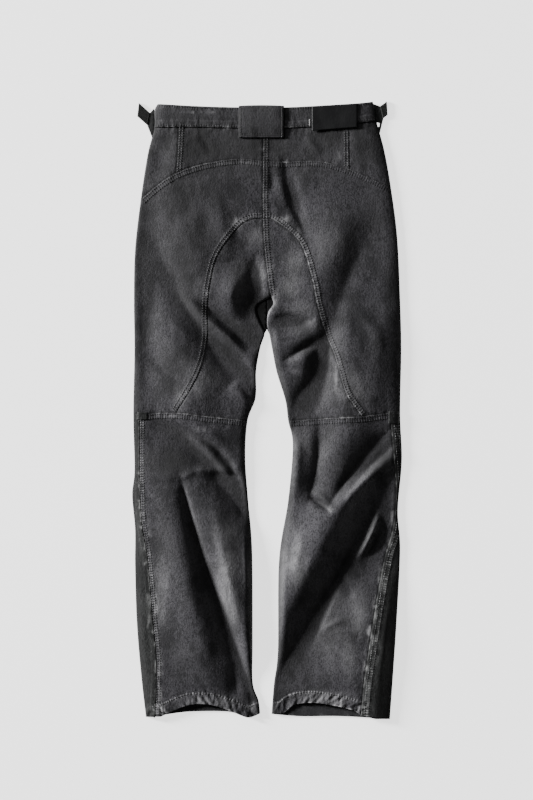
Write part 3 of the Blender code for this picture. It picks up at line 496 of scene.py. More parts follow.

# %% [markdown]
# Wear isn't even either. Wax rubs off where the garment is sat on, bent and dragged. Two tables
# say where, in soft ovals: the first where the wax is rubbed off, the second where the cloth is
# darkened as painted shade, to even out how the low light falls on it. Narrow ovals are broken up
# into flecks, as abrasion is, and wide ones are even.

# %% Rubbed places and places of painted shade
WORN_SPOTS = [
    # x, y, half width, half height, strength
    # waistband and yoke
    (128, 992, 14, 44, 0.60), (-120, 1061, 40, 4, 0.75), (46, 1065, 20, 4, 0.45),
    (-60, 972, 60, 8, 0.40), (80, 974, 40, 7, 0.40), (-190, 1000, 20, 30, 0.35),
    # seat, saddle and crotch
    (-58, 862, 30, 26, 0.34), (40, 862, 30, 26, 0.34), (-4, 890, 16, 50, 0.40),
    (-52, 868, 18, 13, 0.80), (-28, 882, 18, 9, 0.75), (32, 874, 18, 12, 0.85),
    (54, 848, 9, 20, 0.65), (-74, 842, 9, 22, 0.60), (-14, 846, 34, 30, 0.40),
    (-2, 790, 22, 50, 0.45), (8, 742, 14, 18, 0.85), (84, 740, 9, 60, 0.50),
    (-150, 850, 50, 60, 0.15), (110, 830, 50, 70, 0.42), (-46, 770, 26, 50, 0.50),
    (44, 780, 30, 60, 0.50), (60, 700, 40, 60, 0.45),
    # thighs
    (122, 604, 9, 40, 0.80), (-150, 560, 22, 40, 0.45), (90, 600, 28, 60, 0.62),
    (-110, 600, 50, 50, 0.42), (152, 570, 40, 60, 0.45),
    # knees
    (-176, 530, 40, 9, 0.60), (-120, 506, 34, 8, 0.45), (-94, 418, 34, 8, 0.65),
    (66, 480, 40, 40, 0.50), (130, 440, 30, 30, 0.35),
    # lower legs
    (219, 358, 6, 44, 1.00), (178, 326, 7, 34, 0.85), (-206, 270, 7, 130, 0.50),
    (190, 150, 14, 130, 0.50), (110, 170, 62, 130, 0.46), (-72, 250, 32, 140, 0.62),
    (40, 280, 40, 80, 0.48), (158, 190, 26, 60, 0.55), (-186, 200, 24, 110, 0.45),
    (-193, 175, 8, 60, 0.90), (-207, 200, 5, 60, 0.70), (216, 305, 6, 30, 0.85),
    (199, 250, 7, 34, 0.95), (188, 192, 7, 36, 1.00), (180, 140, 7, 36, 1.00),
    # hems
    (-26, 70, 9, 40, 0.80), (174, 40, 10, 60, 0.80), (140, 110, 30, 60, 0.42),
    (-100, 28, 90, 22, 0.45), (90, 36, 80, 22, 0.50), (-187, 14, 14, 14, 1.00),
    (-24, 20, 9, 22, 0.95), (36, 21, 10, 16, 0.75), (169, 20, 12, 16, 1.00),
    (-188, 80, 8, 60, 0.85), (172, 80, 7, 40, 1.00),
]
PAINTED_SHADE_SPOTS = [
    # the same, for places painted darker as shade
    # waistband and yoke
    (-110, 1010, 110, 60, 0.95), (110, 1010, 100, 60, 0.90), (-200, 960, 20, 50, 0.50),
    (-6, 1010, 60, 60, 0.90), (-196, 1046, 9, 34, 1.00), (-160, 1040, 36, 40, 0.80),
    # seat, saddle and crotch
    (-150, 850, 80, 140, 0.90), (-222, 840, 20, 130, 0.80), (228, 760, 20, 220, 0.70),
    (-140, 720, 60, 60, 0.60), (190, 880, 30, 80, 0.55), (120, 860, 60, 60, 0.40),
    (-165, 930, 50, 60, 0.75),
    # thighs
    (-228, 620, 14, 120, 0.60), (-60, 690, 30, 40, 0.40), (-170, 620, 60, 60, 0.55),
    (190, 640, 30, 80, 0.40),
    # knees
    (-176, 450, 50, 30, 0.75), (205, 450, 34, 50, 0.90),
    # lower legs
    (-232, 300, 10, 240, 0.50), (-175, 300, 40, 90, 0.50), (-150, 300, 60, 120, 0.45),
    # hems
    (-150, 120, 50, 60, 0.40), (-212, 50, 10, 60, 0.60),
]
NARROW = 20.0        # a place narrower than this is broken up into flecks
EVEN = 0.25          # share of that break-up that a wide place keeps


def spots(points, table, seed, broken):
    """How strongly the places of a table show at each point, broken up by so much."""
    x, y = points[:, 0], points[:, 1]
    flecked = 1 - broken + broken * uneven(x / 5, y / 9, seed)
    shown = np.zeros(len(points))
    for at_x, at_y, half_x, half_y, strength in table:
        away = ((x - at_x) / half_x) ** 2 + ((y - at_y) / half_y) ** 2
        share = 1.0 if min(half_x, half_y) < NARROW else EVEN
        shown = np.maximum(shown, strength * np.exp(-away) * (1 + share * (flecked - 1)))
    return shown * (0.9 + 0.25 * uneven(x / 30, y / 30, seed + 1))


print(len(WORN_SPOTS), "rubbed places,", len(PAINTED_SHADE_SPOTS), "places of painted shade")


# %% What a seam does to the cloth beside it
def sewn(along, gap, rows):
    """Ribs from -1 to 1 across a band of stitches, how much of the band is there, and holes."""
    turn = np.cos(2 * math.pi * along / STITCH_PITCH)
    first, last = min(rows), max(rows)
    if len(rows) == 1:
        first, last = first - 1.6, last + 1.6
    band = smooth(first - 2.0, first, gap) * (1 - smooth(last, last + 2.0, gap))
    holes = sum(np.exp(-((gap - row) / 0.9) ** 2) for row in rows) * np.clip(turn, 0.0, 1.0)
    return -turn * band, band, holes


def seam_relief(points, over, under):
    """Height, wear and painted shade that a panel's seams give it."""
    x, y = points[:, 0], points[:, 1]
    added, wear, painted_shade = (np.zeros(len(points)) for _ in range(3))
    patchy = np.clip(0.5 + 0.6 * uneven(x / 5, y / 6, 21) + 0.4 * uneven(x / 17, y / 17, 25), 0, 1)
    for name in (*over, *under):
        knots, high, width, rows, pucker, size, worn = SEAMS[name]
        line = curve(knots, LINE_STEP)
        low, top = line.min(axis=0) - SEAM_REACH, line.max(axis=0) + SEAM_REACH
        close = np.all((points > low) & (points < top), axis=1)
        if not close.any():
            continue
        gap, side, along = nearest(points[close], line)
        broken = patchy[close]
        slant = 9.0 if name.startswith("hem") else 22.0
        wave = uneven(along / size + gap / slant, gap / 15 + 7, 31 + len(name))
        wave += 0.5 * uneven(along / (size * 0.5), gap / 10, 37 + len(name))
        spread = np.exp(-(gap / (width + 3.0)) ** 2)
        if name in over:
            step = high * (1 - smooth(width - 1.2, width + 1.2, gap)) - 0.6 * high * np.exp(-gap / 0.8)
            share, here = 1.0, tuple(row for row in rows if row > 0)
        else:
            gap = np.where(UNDER_SIDE[name] * side >= 0, gap, 0.0)
            step = -0.6 * np.exp(-gap / 1.6)
            share, here = 0.8, tuple(-row for row in rows if row < 0)
            # painted shade in the groove under the lap
            painted_shade[close] = np.maximum(painted_shade[close], np.exp(-(gap / 1.5) ** 2))
        rubbed = worn * broken * (np.exp(-gap / 1.6) + 0.6 * np.clip(wave, 0, 1) * spread)
        added[close] += step + share * pucker * wave * spread
        if here:
            ribs, band, holes = sewn(along, gap, here)
            added[close] += RIB * ribs - 0.12 * band
            rubbed = np.maximum(rubbed, worn * (0.2 + 0.7 * broken) * np.clip(ribs, 0, 1))
            # painted shade in the needle holes
            painted_shade[close] = np.maximum(painted_shade[close], 0.75 * holes)
        wear[close] = np.maximum(wear[close], share * rubbed)
    return added, wear, painted_shade


# %% Everything on the outer face
LOOP_LEFT, LOOP_RIGHT, LOOP_LOW, LOOP_HIGH = -49.5, 29.8, 1016.5, 1073.0
CROTCH_AT = (0.0, 712.0)


def outer_face(points, over=(), under=(), raised=0.0):
    """Height, wear and painted shade of a panel's outer face, with everything on it."""
    x, y = points[:, 0], points[:, 1]
    height, near, hollow_shade = cloth_height(points)
    added, wear, painted_shade = seam_relief(points, over, under)
    height = height + raised + added * smooth(0.2, 5.0, near)
    # pale: seams, rubbed places and the worn rim of the crotch; the rim is painted paler on its left
    # side, which lies in shadow, as painted light
    crotch = np.exp(-((x - CROTCH_AT[0]) / 26) ** 2 - ((y - CROTCH_AT[1]) / 36) ** 2)
    rim_wear_and_light = np.where(x < 0, 0.95, 0.30)
    rim = (0.03 + rim_wear_and_light * crotch) * np.exp(-near / 2.2) * (0.6 + 0.4 * uneven(y / 9, x / 40, 24))
    wear = np.maximum(np.maximum(wear, spots(points, WORN_SPOTS, 22, 0.45)), rim)
    # painted shade: less pale wear deep in folds
    wear *= 1 - 0.5 * hollow_shade
    # painted shade: broad painted patches, the shadow round the belt loop, the turn at the sides, deep
    # folds
    beside = np.maximum(np.maximum(LOOP_LEFT - x, x - LOOP_RIGHT), LOOP_LOW - y)
    painted_shade = np.maximum(painted_shade, spots(points, PAINTED_SHADE_SPOTS, 26, 0.15) * (1 - wear))
    painted_shade = np.maximum(painted_shade, 0.9 * np.exp(-np.clip(beside, 0, None) / 1.8) * (y < LOOP_HIGH + 8))
    painted_shade = np.maximum(painted_shade, 0.85 * np.exp(-(near / 9.0) ** 2) * (1 - crotch))
    return height, np.clip(wear, 0, 1), np.clip(np.maximum(painted_shade, 0.65 * hollow_shade), 0, 1)


# %% [markdown]
# ## From an outline to a shell of cloth
#
# A panel is an outline filled with triangles. Blender's constrained Delaunay routine does that
# for any outline, which a grid can't. It also returns triangles outside a hollow outline, so only
# those whose middle lies inside are kept. The outer face is lifted to the height of the cloth, the
# inner face follows a cloth's thickness below, and a strip round the rim closes the shell.

# %% Outline tools
ROW_RISE = 0.866     # rows of equal triangles lie this much closer than their sides are long
RIM_ROWS = (0.4, 1.2, 2.6, 4.4)     # rows of points that follow the rim inwards
SEAM_BAND = 1.25     # points are close together as far as this many times a lap's width


def outward(points):
    """Unit normals of an anticlockwise outline, level with the table."""
    before = points - np.roll(points, 1, axis=0)
    after = np.roll(points, -1, axis=0) - points
    before /= np.linalg.norm(before, axis=1)[:, None]
    after /= np.linalg.norm(after, axis=1)[:, None]
    way = before + after
    way /= np.maximum(np.linalg.norm(way, axis=1), 1e-9)[:, None]
    return np.stack([way[:, 1], -way[:, 0]], axis=1)


def inside(outline, points):
    """Which points lie inside a closed outline."""
    x, y = points[:, 0], points[:, 1]
    hit = np.zeros(len(points), bool)
    for (x0, y0), (x1, y1) in zip(outline, np.roll(outline, -1, axis=0)):
        if y0 != y1:
            hit ^= ((y0 > y) != (y1 > y)) & (x < (x1 - x0) * (y - y0) / (y1 - y0) + x0)
    return hit


def to_nearest(points, others):
    """Distance of each point to the nearest of the others."""
    tree = kdtree.KDTree(len(others))
    for i, p in enumerate(others):
        tree.insert((p[0], p[1], 0.0), i)
    tree.balance()
    return np.array([tree.find((p[0], p[1], 0.0))[2] for p in points])


def clear_of(points, others, space):
    """The points that keep a distance from the others."""
    return points[to_nearest(points, others) > space] if len(points) else points


def lattice(rim, step):
    """Points inside an outline in staggered rows."""
    low, high = rim.min(axis=0), rim.max(axis=0)
    rows = []
    for j, y in enumerate(np.arange(low[1], high[1], step * ROW_RISE)):
        across = np.arange(low[0] + (j % 2) * step / 2, high[0], step)
        rows.append(np.column_stack([across, np.full(len(across), y)]))
    points = np.vstack(rows)
    return points[inside(rim, points)]


def fill(rim, step, seams=()):
    """Points and triangles of a filled outline, with points twice as close along its seams."""
    points = rim
    for depth in RIM_ROWS:
        row = rim - outward(rim) * depth
        row = row[inside(rim, row)]
        points = np.vstack([points, clear_of(row, points, depth * 0.35)])
    for size, fine in ((step / 2, True), (step, False)):
        if fine and not seams:
            continue
        more = lattice(rim, size)
        if seams:
            gap = np.min([nearest(more, curve(SEAMS[name].line, LINE_STEP))[0] / SEAMS[name].width
                          for name in seams], axis=0)
            more = more[(gap < SEAM_BAND) == fine]
        points = np.vstack([points, clear_of(more, points, size * 0.7)])
    made = delaunay_2d_cdt([tuple(p) for p in points], [], [list(range(len(rim)))], 1, 1e-7, False)
    if len(made[0]) != len(points):
        raise ValueError("the outline crosses itself")
    faces = np.array([list(f) for f in made[2]])
    faces = faces[inside(rim, points[faces].mean(axis=1))]
    return points, faces


def face_normals(points, faces):
    """Unit normals at the points of a triangle mesh."""
    a, b, c = (points[faces[:, k]] for k in range(3))
    flat = np.cross(b - a, c - a)
    normal = np.zeros_like(points)
    for k in range(3):
        np.add.at(normal, faces[:, k], flat)
    return normal / np.maximum(np.linalg.norm(normal, axis=1), 1e-12)[:, None]


# %% Make a mesh object with its masks
FRAME_ORIGIN = (0.0, LENGTH / 2, 0.0)      # where the frame's origin lies on the pattern
made_pieces = {}


def add_piece(name, points, faces, materials, masks=(), face_material=None, sharp=60):
    """A piece in metres that rides on the body, with its worn mask and its mask of painted shade."""
    at = (np.asarray(points, float) - FRAME_ORIGIN) * MM
    mesh = bpy.data.meshes.new(name)
    mesh.from_pydata(at.tolist(), [], [list(map(int, f)) for f in faces])
    for finish in materials:
        mesh.materials.append(finish)
    if face_material is not None:
        mesh.polygons.foreach_set("material_index", np.asarray(face_material, np.int32))
    for mask, values in zip(("worn", "painted_shade"), masks):
        layer = mesh.attributes.new(mask, "FLOAT", "POINT")
        layer.data.foreach_set("value", np.asarray(values, np.float32))
    mesh.shade_smooth()
    mesh.set_sharp_from_angle(angle=math.radians(sharp))
    mesh.update()
    piece = bpy.data.objects.new(name, mesh)
    bpy.context.collection.objects.link(piece)
    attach(piece, "root")
    made_pieces[name] = piece
    return piece


def close_shell(top, under, faces, ring):
    """Points and faces of a closed shell from two sides with the same points."""
    n = len(top)
    i = np.arange(ring)
    j = (i + 1) % ring
    rim = np.vstack([np.stack([i, n + i, j], axis=1), np.stack([j, n + i, n + j], axis=1)])
    return np.vstack([top, under]), np.vstack([faces, faces[:, ::-1] + n, rim])


def inner_faces(faces, total):
    """The number of the material of each face of a closed shell: 1 on its inner side."""
    inner = np.zeros(total, int)
    inner[len(faces):2 * len(faces)] = 1
    return inner


# %% [markdown]
# ## Finishes
#
# Waxed black denim isn't one colour. The wax lies in soft clouds, the warp shows through it as
# fine lengthwise streaks, and it thins to grey where it rubs. Painted shade darkens it further in
# grooves, folds and corners.
# The streaks and the rubbing are wanted in several finishes, so each is a shader node group with
# its own inputs, and every finish places the group with its own values.

# %% Helpers for node trees
def socket_group(name, inputs, outputs):
    """A new shader node group with named sockets, and its input and output nodes."""
    tree = bpy.data.node_groups.new(name, "ShaderNodeTree")
    for label, kind, value in inputs:
        made = tree.interface.new_socket(label, in_out="INPUT", socket_type=kind)
        if value is not None:
            made.default_value = value
    for label, kind in outputs:
        tree.interface.new_socket(label, in_out="OUTPUT", socket_type=kind)
    return tree, tree.nodes.new("NodeGroupInput"), tree.nodes.new("NodeGroupOutput")


def feed(tree, socket, value):
    """A number, a colour or another node's result into a socket."""
    if isinstance(value, (int, float)):
        socket.default_value = value
    elif isinstance(value, tuple):
        socket.default_value = (*value, 1.0)
    else:
        tree.links.new(value, socket)


def math_node(tree, operation, a, b):
    """A maths node fed by sockets or numbers, and its result."""
    node = tree.nodes.new("ShaderNodeMath")
    node.operation = operation
    feed(tree, node.inputs[0], a)
    feed(tree, node.inputs[1], b)
    return node.outputs[0]


def add_up(tree, base, *terms):
    """A base and more sockets, each of them times its own factor, added up."""
    total = base
    for value, factor in terms:
        total = math_node(tree, "ADD", math_node(tree, "MULTIPLY", value, factor), total)
    return total


def mix_colour(tree, share, a, b):
    """A colour mix fed by sockets or colours, and its result."""
    node = tree.nodes.new("ShaderNodeMix")
    node.data_type = "RGBA"
    for number, value in ((0, share), (6, a), (7, b)):
        feed(tree, node.inputs[number], value)
    return node.outputs[2]


def soft_range(tree, value, low, high, to_low=0.0, to_high=1.0):
    """A smooth step of a value from one range to another."""
    node = tree.nodes.new("ShaderNodeMapRange")
    node.interpolation_type = "SMOOTHSTEP"
    limits = {"Value": value, "From Min": low, "From Max": high, "To Min": to_low, "To Max": to_high}
    for label, number in limits.items():
        feed(tree, node.inputs[label], number)
    return node.outputs[0]


def noise(tree, vector, scale, detail=3.0, roughness=0.55):
    """A noise texture's value."""
    node = tree.nodes.new("ShaderNodeTexNoise")
    node.inputs["Scale"].default_value = scale
    node.inputs["Detail"].default_value = detail
    node.inputs["Roughness"].default_value = roughness
    tree.links.new(vector, node.inputs["Vector"])
    return node.outputs[0]


def cloth_noise(tree, place, across, along, detail, roughness):
    """Noise with so many lumps a metre across the garment and along it."""
    node = tree.nodes.new("ShaderNodeMapping")
    node.inputs["Scale"].default_value = (across, along, across)
    tree.links.new(place, node.inputs["Vector"])
    return noise(tree, node.outputs[0], 1.0, detail, roughness)


# %% Group: lengthwise grain
grain, grain_in, grain_out = socket_group(
    "lengthwise grain",
    [("Place", "NodeSocketVector", None), ("Clouding", "NodeSocketFloat", 1.0)],
    [("Streaks", "NodeSocketFloat"), ("Clouds", "NodeSocketFloat"), ("Relief", "NodeSocketFloat")])
place = grain_in.outputs["Place"]
threads = cloth_noise(grain, place, 480, 150, 3.0, 0.6)
speckle = cloth_noise(grain, place, 460, 380, 2.0, 0.6)
streaks = add_up(grain, 0.0, (threads, 0.45), (speckle, 0.55))
patina = cloth_noise(grain, place, 52, 36, 6.0, 0.68)
clouds = cloth_noise(grain, place, 17, 12, 5.0, 0.60)
clouds = soft_range(grain, add_up(grain, 0.0, (clouds, 0.55), (patina, 0.45)), 0.40, 0.60)
clouds = math_node(grain, "MULTIPLY", clouds, grain_in.outputs["Clouding"])
twill = grain.nodes.new("ShaderNodeTexWave")
twill.bands_direction = "DIAGONAL"
for label, value in (("Scale", 230.0), ("Distortion", 1.5), ("Detail Scale", 3.0), ("Vector", place)):
    feed(grain, twill.inputs[label], value)
leathery = cloth_noise(grain, place, 240, 170, 4.0, 0.6)
relief = add_up(grain, 0.0, (streaks, 0.8), (twill.outputs["Fac"], 0.12), (leathery, 0.6))
grain.links.new(streaks, grain_out.inputs["Streaks"])
grain.links.new(clouds, grain_out.inputs["Clouds"])
grain.links.new(relief, grain_out.inputs["Relief"])
print("grain group:", len(grain.nodes), "nodes")

# %% Group: rubbed edges
rubbed, rubbed_in, rubbed_out = socket_group(
    "rubbed edges",
    [("Worn", "NodeSocketFloat", 0.0), ("Place", "NodeSocketVector", None),
     ("Streaks", "NodeSocketFloat", 0.5)],
    [("Mask", "NodeSocketFloat")])
flecks = cloth_noise(rubbed, rubbed_in.outputs["Place"], 420, 300, 4.0, 0.7)
broken = add_up(rubbed, 0.25, (flecks, 0.9), (rubbed_in.outputs["Streaks"], 0.5))
raw_mask = math_node(rubbed, "MULTIPLY", rubbed_in.outputs["Worn"], broken)
rubbed.links.new(soft_range(rubbed, raw_mask, 0.10, 0.95), rubbed_out.inputs["Mask"])
print("rubbed group:", len(rubbed.nodes), "nodes")

# %% [markdown]
# The wax gives the cloth a broad, low gloss, so the shader keeps its plain specular level with a
# roughness around a half, higher where the wax is gone. Bump carries only what is finer than the
# mesh: streaks, twill and the leathery skin of the wax.

# %% Cloth finishes
# painted shade: the near black that grooves, folds and corners are mixed towards
PAINTED_SHADE_COLOUR = (0.004, 0.004, 0.004)


def mask_node(tree, name):
    """What a mask of the mesh says."""
    node = tree.nodes.new("ShaderNodeAttribute")
    node.attribute_name = name
    return node.outputs["Fac"]


def placed(tree, group, **values):
    """A group's node with its inputs fed, and its outputs."""
    node = tree.nodes.new("ShaderNodeGroup")
    node.node_tree = group
    for label, value in values.items():
        feed(tree, node.inputs[label], value)
    return node.outputs


def cloth_finish(name, dark, light, worn_colour, roughness, clouding, relief_depth, specular):
    """Waxed or raw denim from the two groups, with its own colours."""
    made = bpy.data.materials.new(name)
    made.use_nodes = True
    tree = made.node_tree
    shader = tree.nodes["Principled BSDF"].inputs
    place = tree.nodes.new("ShaderNodeTexCoord").outputs["Object"]
    threads = placed(tree, grain, Clouding=clouding, Place=place)
    streaks, clouds = threads["Streaks"], threads["Clouds"]
    worn = placed(tree, rubbed, Worn=mask_node(tree, "worn"), Place=place, Streaks=streaks)["Mask"]
    painted_shade = mask_node(tree, "painted_shade")
    # colour: clouds of wax streaked by the threads, pale where rubbed, and mixed towards black by the
    # painted shade mask
    grainy = soft_range(tree, streaks, 0.36, 0.64, 0.10, 1.90)
    shade = add_up(tree, math_node(tree, "MULTIPLY", clouds, grainy), (grainy, 0.12))
    colour = mix_colour(tree, shade, dark, light)
    colour = mix_colour(tree, worn, colour, worn_colour)
    shade_strength = math_node(tree, "MULTIPLY", painted_shade, 0.90)
    tree.links.new(mix_colour(tree, shade_strength, colour, PAINTED_SHADE_COLOUR), shader["Base Color"])
    # roughness: less where the wax is thick, more where it is rubbed off or under painted shade
    rough = add_up(tree, roughness - 0.08, (streaks, 0.16), (worn, 0.22), (clouds, -0.10),
                   (painted_shade, 0.42))
    tree.links.new(rough, shader["Roughness"])
    shader["Specular IOR Level"].default_value = specular
    bump = tree.nodes.new("ShaderNodeBump")
    for label, value in (("Strength", 0.8), ("Distance", relief_depth), ("Height", threads["Relief"])):
        feed(tree, bump.inputs[label], value)
    tree.links.new(bump.outputs["Normal"], shader["Normal"])
    return made


# each finish: dark, light and rubbed colour, roughness, clouding, depth of the relief in metres,
# specular level
WAXED = cloth_finish("waxed_denim", (0.0100, 0.0098, 0.0115), (0.054, 0.0520, 0.0580),
                     (0.330, 0.326, 0.336), 0.52, 1.0, 0.0008, 0.42)
# darker than the back's finish: partly the strips' own less worn tone, partly painted shade, as the left
# strip faces the lamp
SIDE_WAXED_SHADED = cloth_finish("waxed_denim_sides_shaded", (0.0090, 0.0094, 0.0094), (0.030, 0.031, 0.0305),
                          (0.240, 0.242, 0.240), 0.56, 0.8, 0.0008, 0.35)
RAW = cloth_finish("raw_denim_inside", (0.024, 0.024, 0.026), (0.044, 0.044, 0.047),
                   (0.16, 0.16, 0.165), 0.85, 0.6, 0.0006, 0.2)
LEATHER = cloth_finish("patch_leather", (0.0065, 0.0066, 0.0072), (0.0110, 0.0112, 0.0120),
                       (0.10, 0.10, 0.10), 0.52, 0.5, 0.0003, 0.28)
WEBBING = cloth_finish("webbing", (0.0090, 0.0095, 0.0090), (0.016, 0.017, 0.016),
                       (0.09, 0.09, 0.09), 0.70, 0.5, 0.0003, 0.25)
THREAD = cloth_finish("thread", (0.0120, 0.0118, 0.0125), (0.026, 0.026, 0.028),
                      (0.22, 0.22, 0.225), 0.60, 0.5, 0.0001, 0.4)
PALE_THREAD = cloth_finish("pale_thread", (0.30, 0.30, 0.30), (0.42, 0.42, 0.42),
                           (0.55, 0.55, 0.55), 0.70, 0.5, 0.0001, 0.3)


# %% Metal finish
def metal_finish(name, colour, roughness):
    """Darkened metal with a slightly uneven polish."""
    made = bpy.data.materials.new(name)
    made.use_nodes = True
    tree = made.node_tree
    shader = tree.nodes["Principled BSDF"]
    shader.inputs["Metallic"].default_value = 1.0
    place = tree.nodes.new("ShaderNodeTexCoord").outputs["Object"]
    polish = noise(tree, place, 900.0)
    tarnished = mix_colour(tree, polish, colour, tuple(0.6 * c for c in colour))
    tree.links.new(tarnished, shader.inputs["Base Color"])
    tree.links.new(add_up(tree, roughness - 0.1, (polish, 0.25)), shader.inputs["Roughness"])
    return made


METAL = metal_finish("button_metal", (0.18, 0.17, 0.16), 0.35)
print(len(bpy.data.materials), "materials")

# %% [markdown]
# ## The back panels
#
# Each panel names the seams that it laps over and those where it runs in under its neighbour. A
# panel that runs under is cut 2.5 mm past the seam line, as a real seam allowance is, so no gap
# can open. Only at the waist both sides stop at the line, because the band stands higher there.
# The outer face is waxed and the inner face is raw denim.

# %% Build one panel
PANEL_STEP = 2.6     # distance between the points of a panel
ON_LINE = 0.6        # a point this near to a seam belongs to it
PLAY = 0.1           # how far a rim stays back from its line where nothing runs under
TUCK = 2.5           # how far a panel runs in under its neighbour


def cut(outline, under):
    """The outline with its seam allowances, and which of its points lie on a folded side."""
    on_side = to_sides(outline)[0] < SAME_POINT
    shift = np.where(on_side, 0.0, -PLAY)
    for name in under:
        if name != "waist":
            close = nearest(outline, curve(SEAMS[name].line, LINE_STEP))[0] < ON_LINE
            shift[close & ~on_side] = TUCK
    return outline + outward(outline) * shift[:, None], on_side


def back_panel(name, outline, over, under, raised=0.0, wall=None):
    """A panel of the back as a closed shell."""
    rim, on_side = cut(outline, under)
    points, faces = fill(rim, PANEL_STEP, (*over, *under))
    ring = len(rim)
    z, worn, painted_shade = outer_face(points, over, under, raised)
    z[:ring][on_side] = EDGE_TOP + raised
    top = np.column_stack([points, z])
    normal = face_normals(top, faces)
    normal[:ring][on_side] = np.column_stack([outward(outline)[on_side], np.zeros(on_side.sum())])
    thick = hem_wall(points) if wall is None else np.full(len(points), wall)
    thick[:ring][on_side] = CLOTH
    below = top - normal * thick[:, None]
    below[:, 2] = np.maximum(below[:, 2], EDGE_TOP + raised)
    verts, tris = close_shell(top, below, faces, ring)
    masks = (np.concatenate([worn, worn]), np.concatenate([painted_shade, painted_shade]))
    piece = add_piece(name + "_cloth", verts, tris, [WAXED, RAW], masks,
                      inner_faces(faces, len(tris)))
    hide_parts(name)
    print(f"{name}: {len(tris)} triangles, {outline_area(outline) * 1e4:.0f} cm2")


# %% Yoke and waistband
dart_l, dart_r = curve(DART_LEFT), curve(DART_RIGHT)
back_panel("yoke_center_left", loop(
    curve(WAIST_SEAM, first=1, last=3), curve(CENTRE_BACK, first=0, last=1),
    curve(YOKE_SEAM, first=5, last=2), dart_l[::-1]),
    ("dart_left",), ("waist", "yoke", "centre"))
back_panel("yoke_center_right", loop(
    curve(WAIST_SEAM, first=3, last=5), dart_r,
    curve(YOKE_SEAM, first=8, last=5), curve(CENTRE_BACK, first=1, last=0)),
    ("dart_right", "centre"), ("waist", "yoke"))
back_panel("yoke_side_left", loop(
    curve(WAIST_SEAM, first=0, last=1), dart_l,
    curve(YOKE_SEAM, first=2, last=0), curve(SIDE_LEFT, first=4, last=2)),
    (), ("waist", "yoke", "dart_left"))
back_panel("yoke_side_right", loop(
    curve(WAIST_SEAM, first=5, last=6), curve(SIDE_RIGHT, first=2, last=4),
    curve(YOKE_SEAM, first=10, last=8), dart_r[::-1]),
    (), ("waist", "yoke", "dart_right"))

# the band has a stitched top edge and a crease 12 mm above its seam
SEAMS["band_top"] = Seam(WAIST_TOP, 0.15, 4.0, (3.0,), 0.2, 8.0, 0.55)
SEAMS["band_crease"] = Seam([(x, y + 12.0) for x, y in WAIST_SEAM], -0.35, 1.2, (), 0.1, 8.0, 0.25)
back_panel("waistband_back", loop(
    curve(WAIST_TOP), curve(SIDE_RIGHT, last=2), curve(WAIST_SEAM)[::-1],
    curve(SIDE_LEFT, first=2, last=0)),
    ("waist", "band_top", "band_crease"), (), BAND - CLOTH, BAND)

# %% Seat, saddle and lower legs
for side, end, saddle, knee, edge in (
        ("left", 0, SADDLE_LEFT, KNEE_LEFT, SIDE_LEFT),
        ("right", 10, SADDLE_RIGHT, KNEE_RIGHT, SIDE_RIGHT)):
    over = ("yoke", "saddle_" + side) + (("centre",) if side == "right" else ())
    under = ("knee_" + side,) + (("centre",) if side == "left" else ())
    back_panel("seat_" + side, loop(
        curve(YOKE_SEAM, first=end, last=5), curve(CENTRE_BACK, first=1, last=2), curve(saddle),
        curve(knee, first=2, last=0), curve(edge, first=8, last=4)), over, under)

for side, inner, knee, saddle in (("left", INNER_LEFT, KNEE_LEFT, SADDLE_LEFT),
                                  ("right", INNER_RIGHT, KNEE_RIGHT, SADDLE_RIGHT)):
    over = ("centre",) if side == "right" else ()
    under = ("saddle_" + side, "knee_" + side) + (("centre",) if side == "left" else ())
    back_panel("saddle_" + side, loop(
        curve(CENTRE_BACK, first=2, last=5), curve(inner, last=8),
        curve(knee, first=4, last=2), curve(saddle)[::-1]), over, under)

for side, inner, knee, outseam, hem in (
        ("left", INNER_LEFT, KNEE_LEFT, OUTSEAM_LEFT, HEM_LEFT),
        ("right", INNER_RIGHT, KNEE_RIGHT, OUTSEAM_RIGHT, HEM_RIGHT)):
    back_panel("calf_" + side, loop(
        curve(knee, first=1, last=4), curve(inner, first=8), curve(hem)[::-1],
        curve(outseam)[::-1]), ("knee_" + side, "hem_" + side), ("outseam_" + side,))

# %% [markdown]
# ## The strips outside the calf seams
#
# The outer part of each lower leg is its own strip. It starts at the seam on the back, runs over
# the folded edge and lies under the leg. A row of cross-sections does that best: each one is the
# same ring of points, and neighbouring rings are joined to a tube of cloth.

# %% Where a side strip runs
STRIP_UNDER = 26.0   # how far it reaches in underneath
STRIP_INSIDE = 1.6   # least distance of its inner face from the folded edge
# a section's points on the back, as shares of the way from the folded edge to the seam
SHARES = (1.0, 0.98, 0.95, 0.91, 0.86, 0.8, 0.74, 0.68, 0.62, 0.56, 0.5, 0.44, 0.38, 0.32, 0.26, 0.2,
          0.15, 0.1, 0.06, 0.025, 0.008)


def strip_lines(side, outseam, step=EDGE_STEP):
    """Seam on the back, folded edge and seam underneath, with the same number of points."""
    back = curve(outseam, step)
    edge = curve(side, 1.2, first=8)
    size = np.linalg.norm(np.diff(edge, axis=0), axis=1)
    run = np.concatenate([[0.0], np.cumsum(size)]) / size.sum()
    share = np.linspace(0.0, 1.0, len(back))
    edge = np.column_stack([np.interp(share, run, edge[:, k]) for k in (0, 1)])
    inward = 1.0 if side[0][0] < 0 else -1.0
    return back, edge, edge + (inward * STRIP_UNDER, 0.0), inward


def tube(rows):
    """Points and faces of a closed body through rings with the same number of points."""
    count, ring = len(rows), len(rows[0])
    faces = []
    for r in range(count - 1):
        for i in range(ring):
            j = (i + 1) % ring
            faces.append((r * ring + i, r * ring + j, (r + 1) * ring + j, (r + 1) * ring + i))
    faces.append(tuple(range(ring))[::-1])
    faces.append(tuple((count - 1) * ring + i for i in range(ring)))
    return np.array(rows).reshape(-1, 3), faces


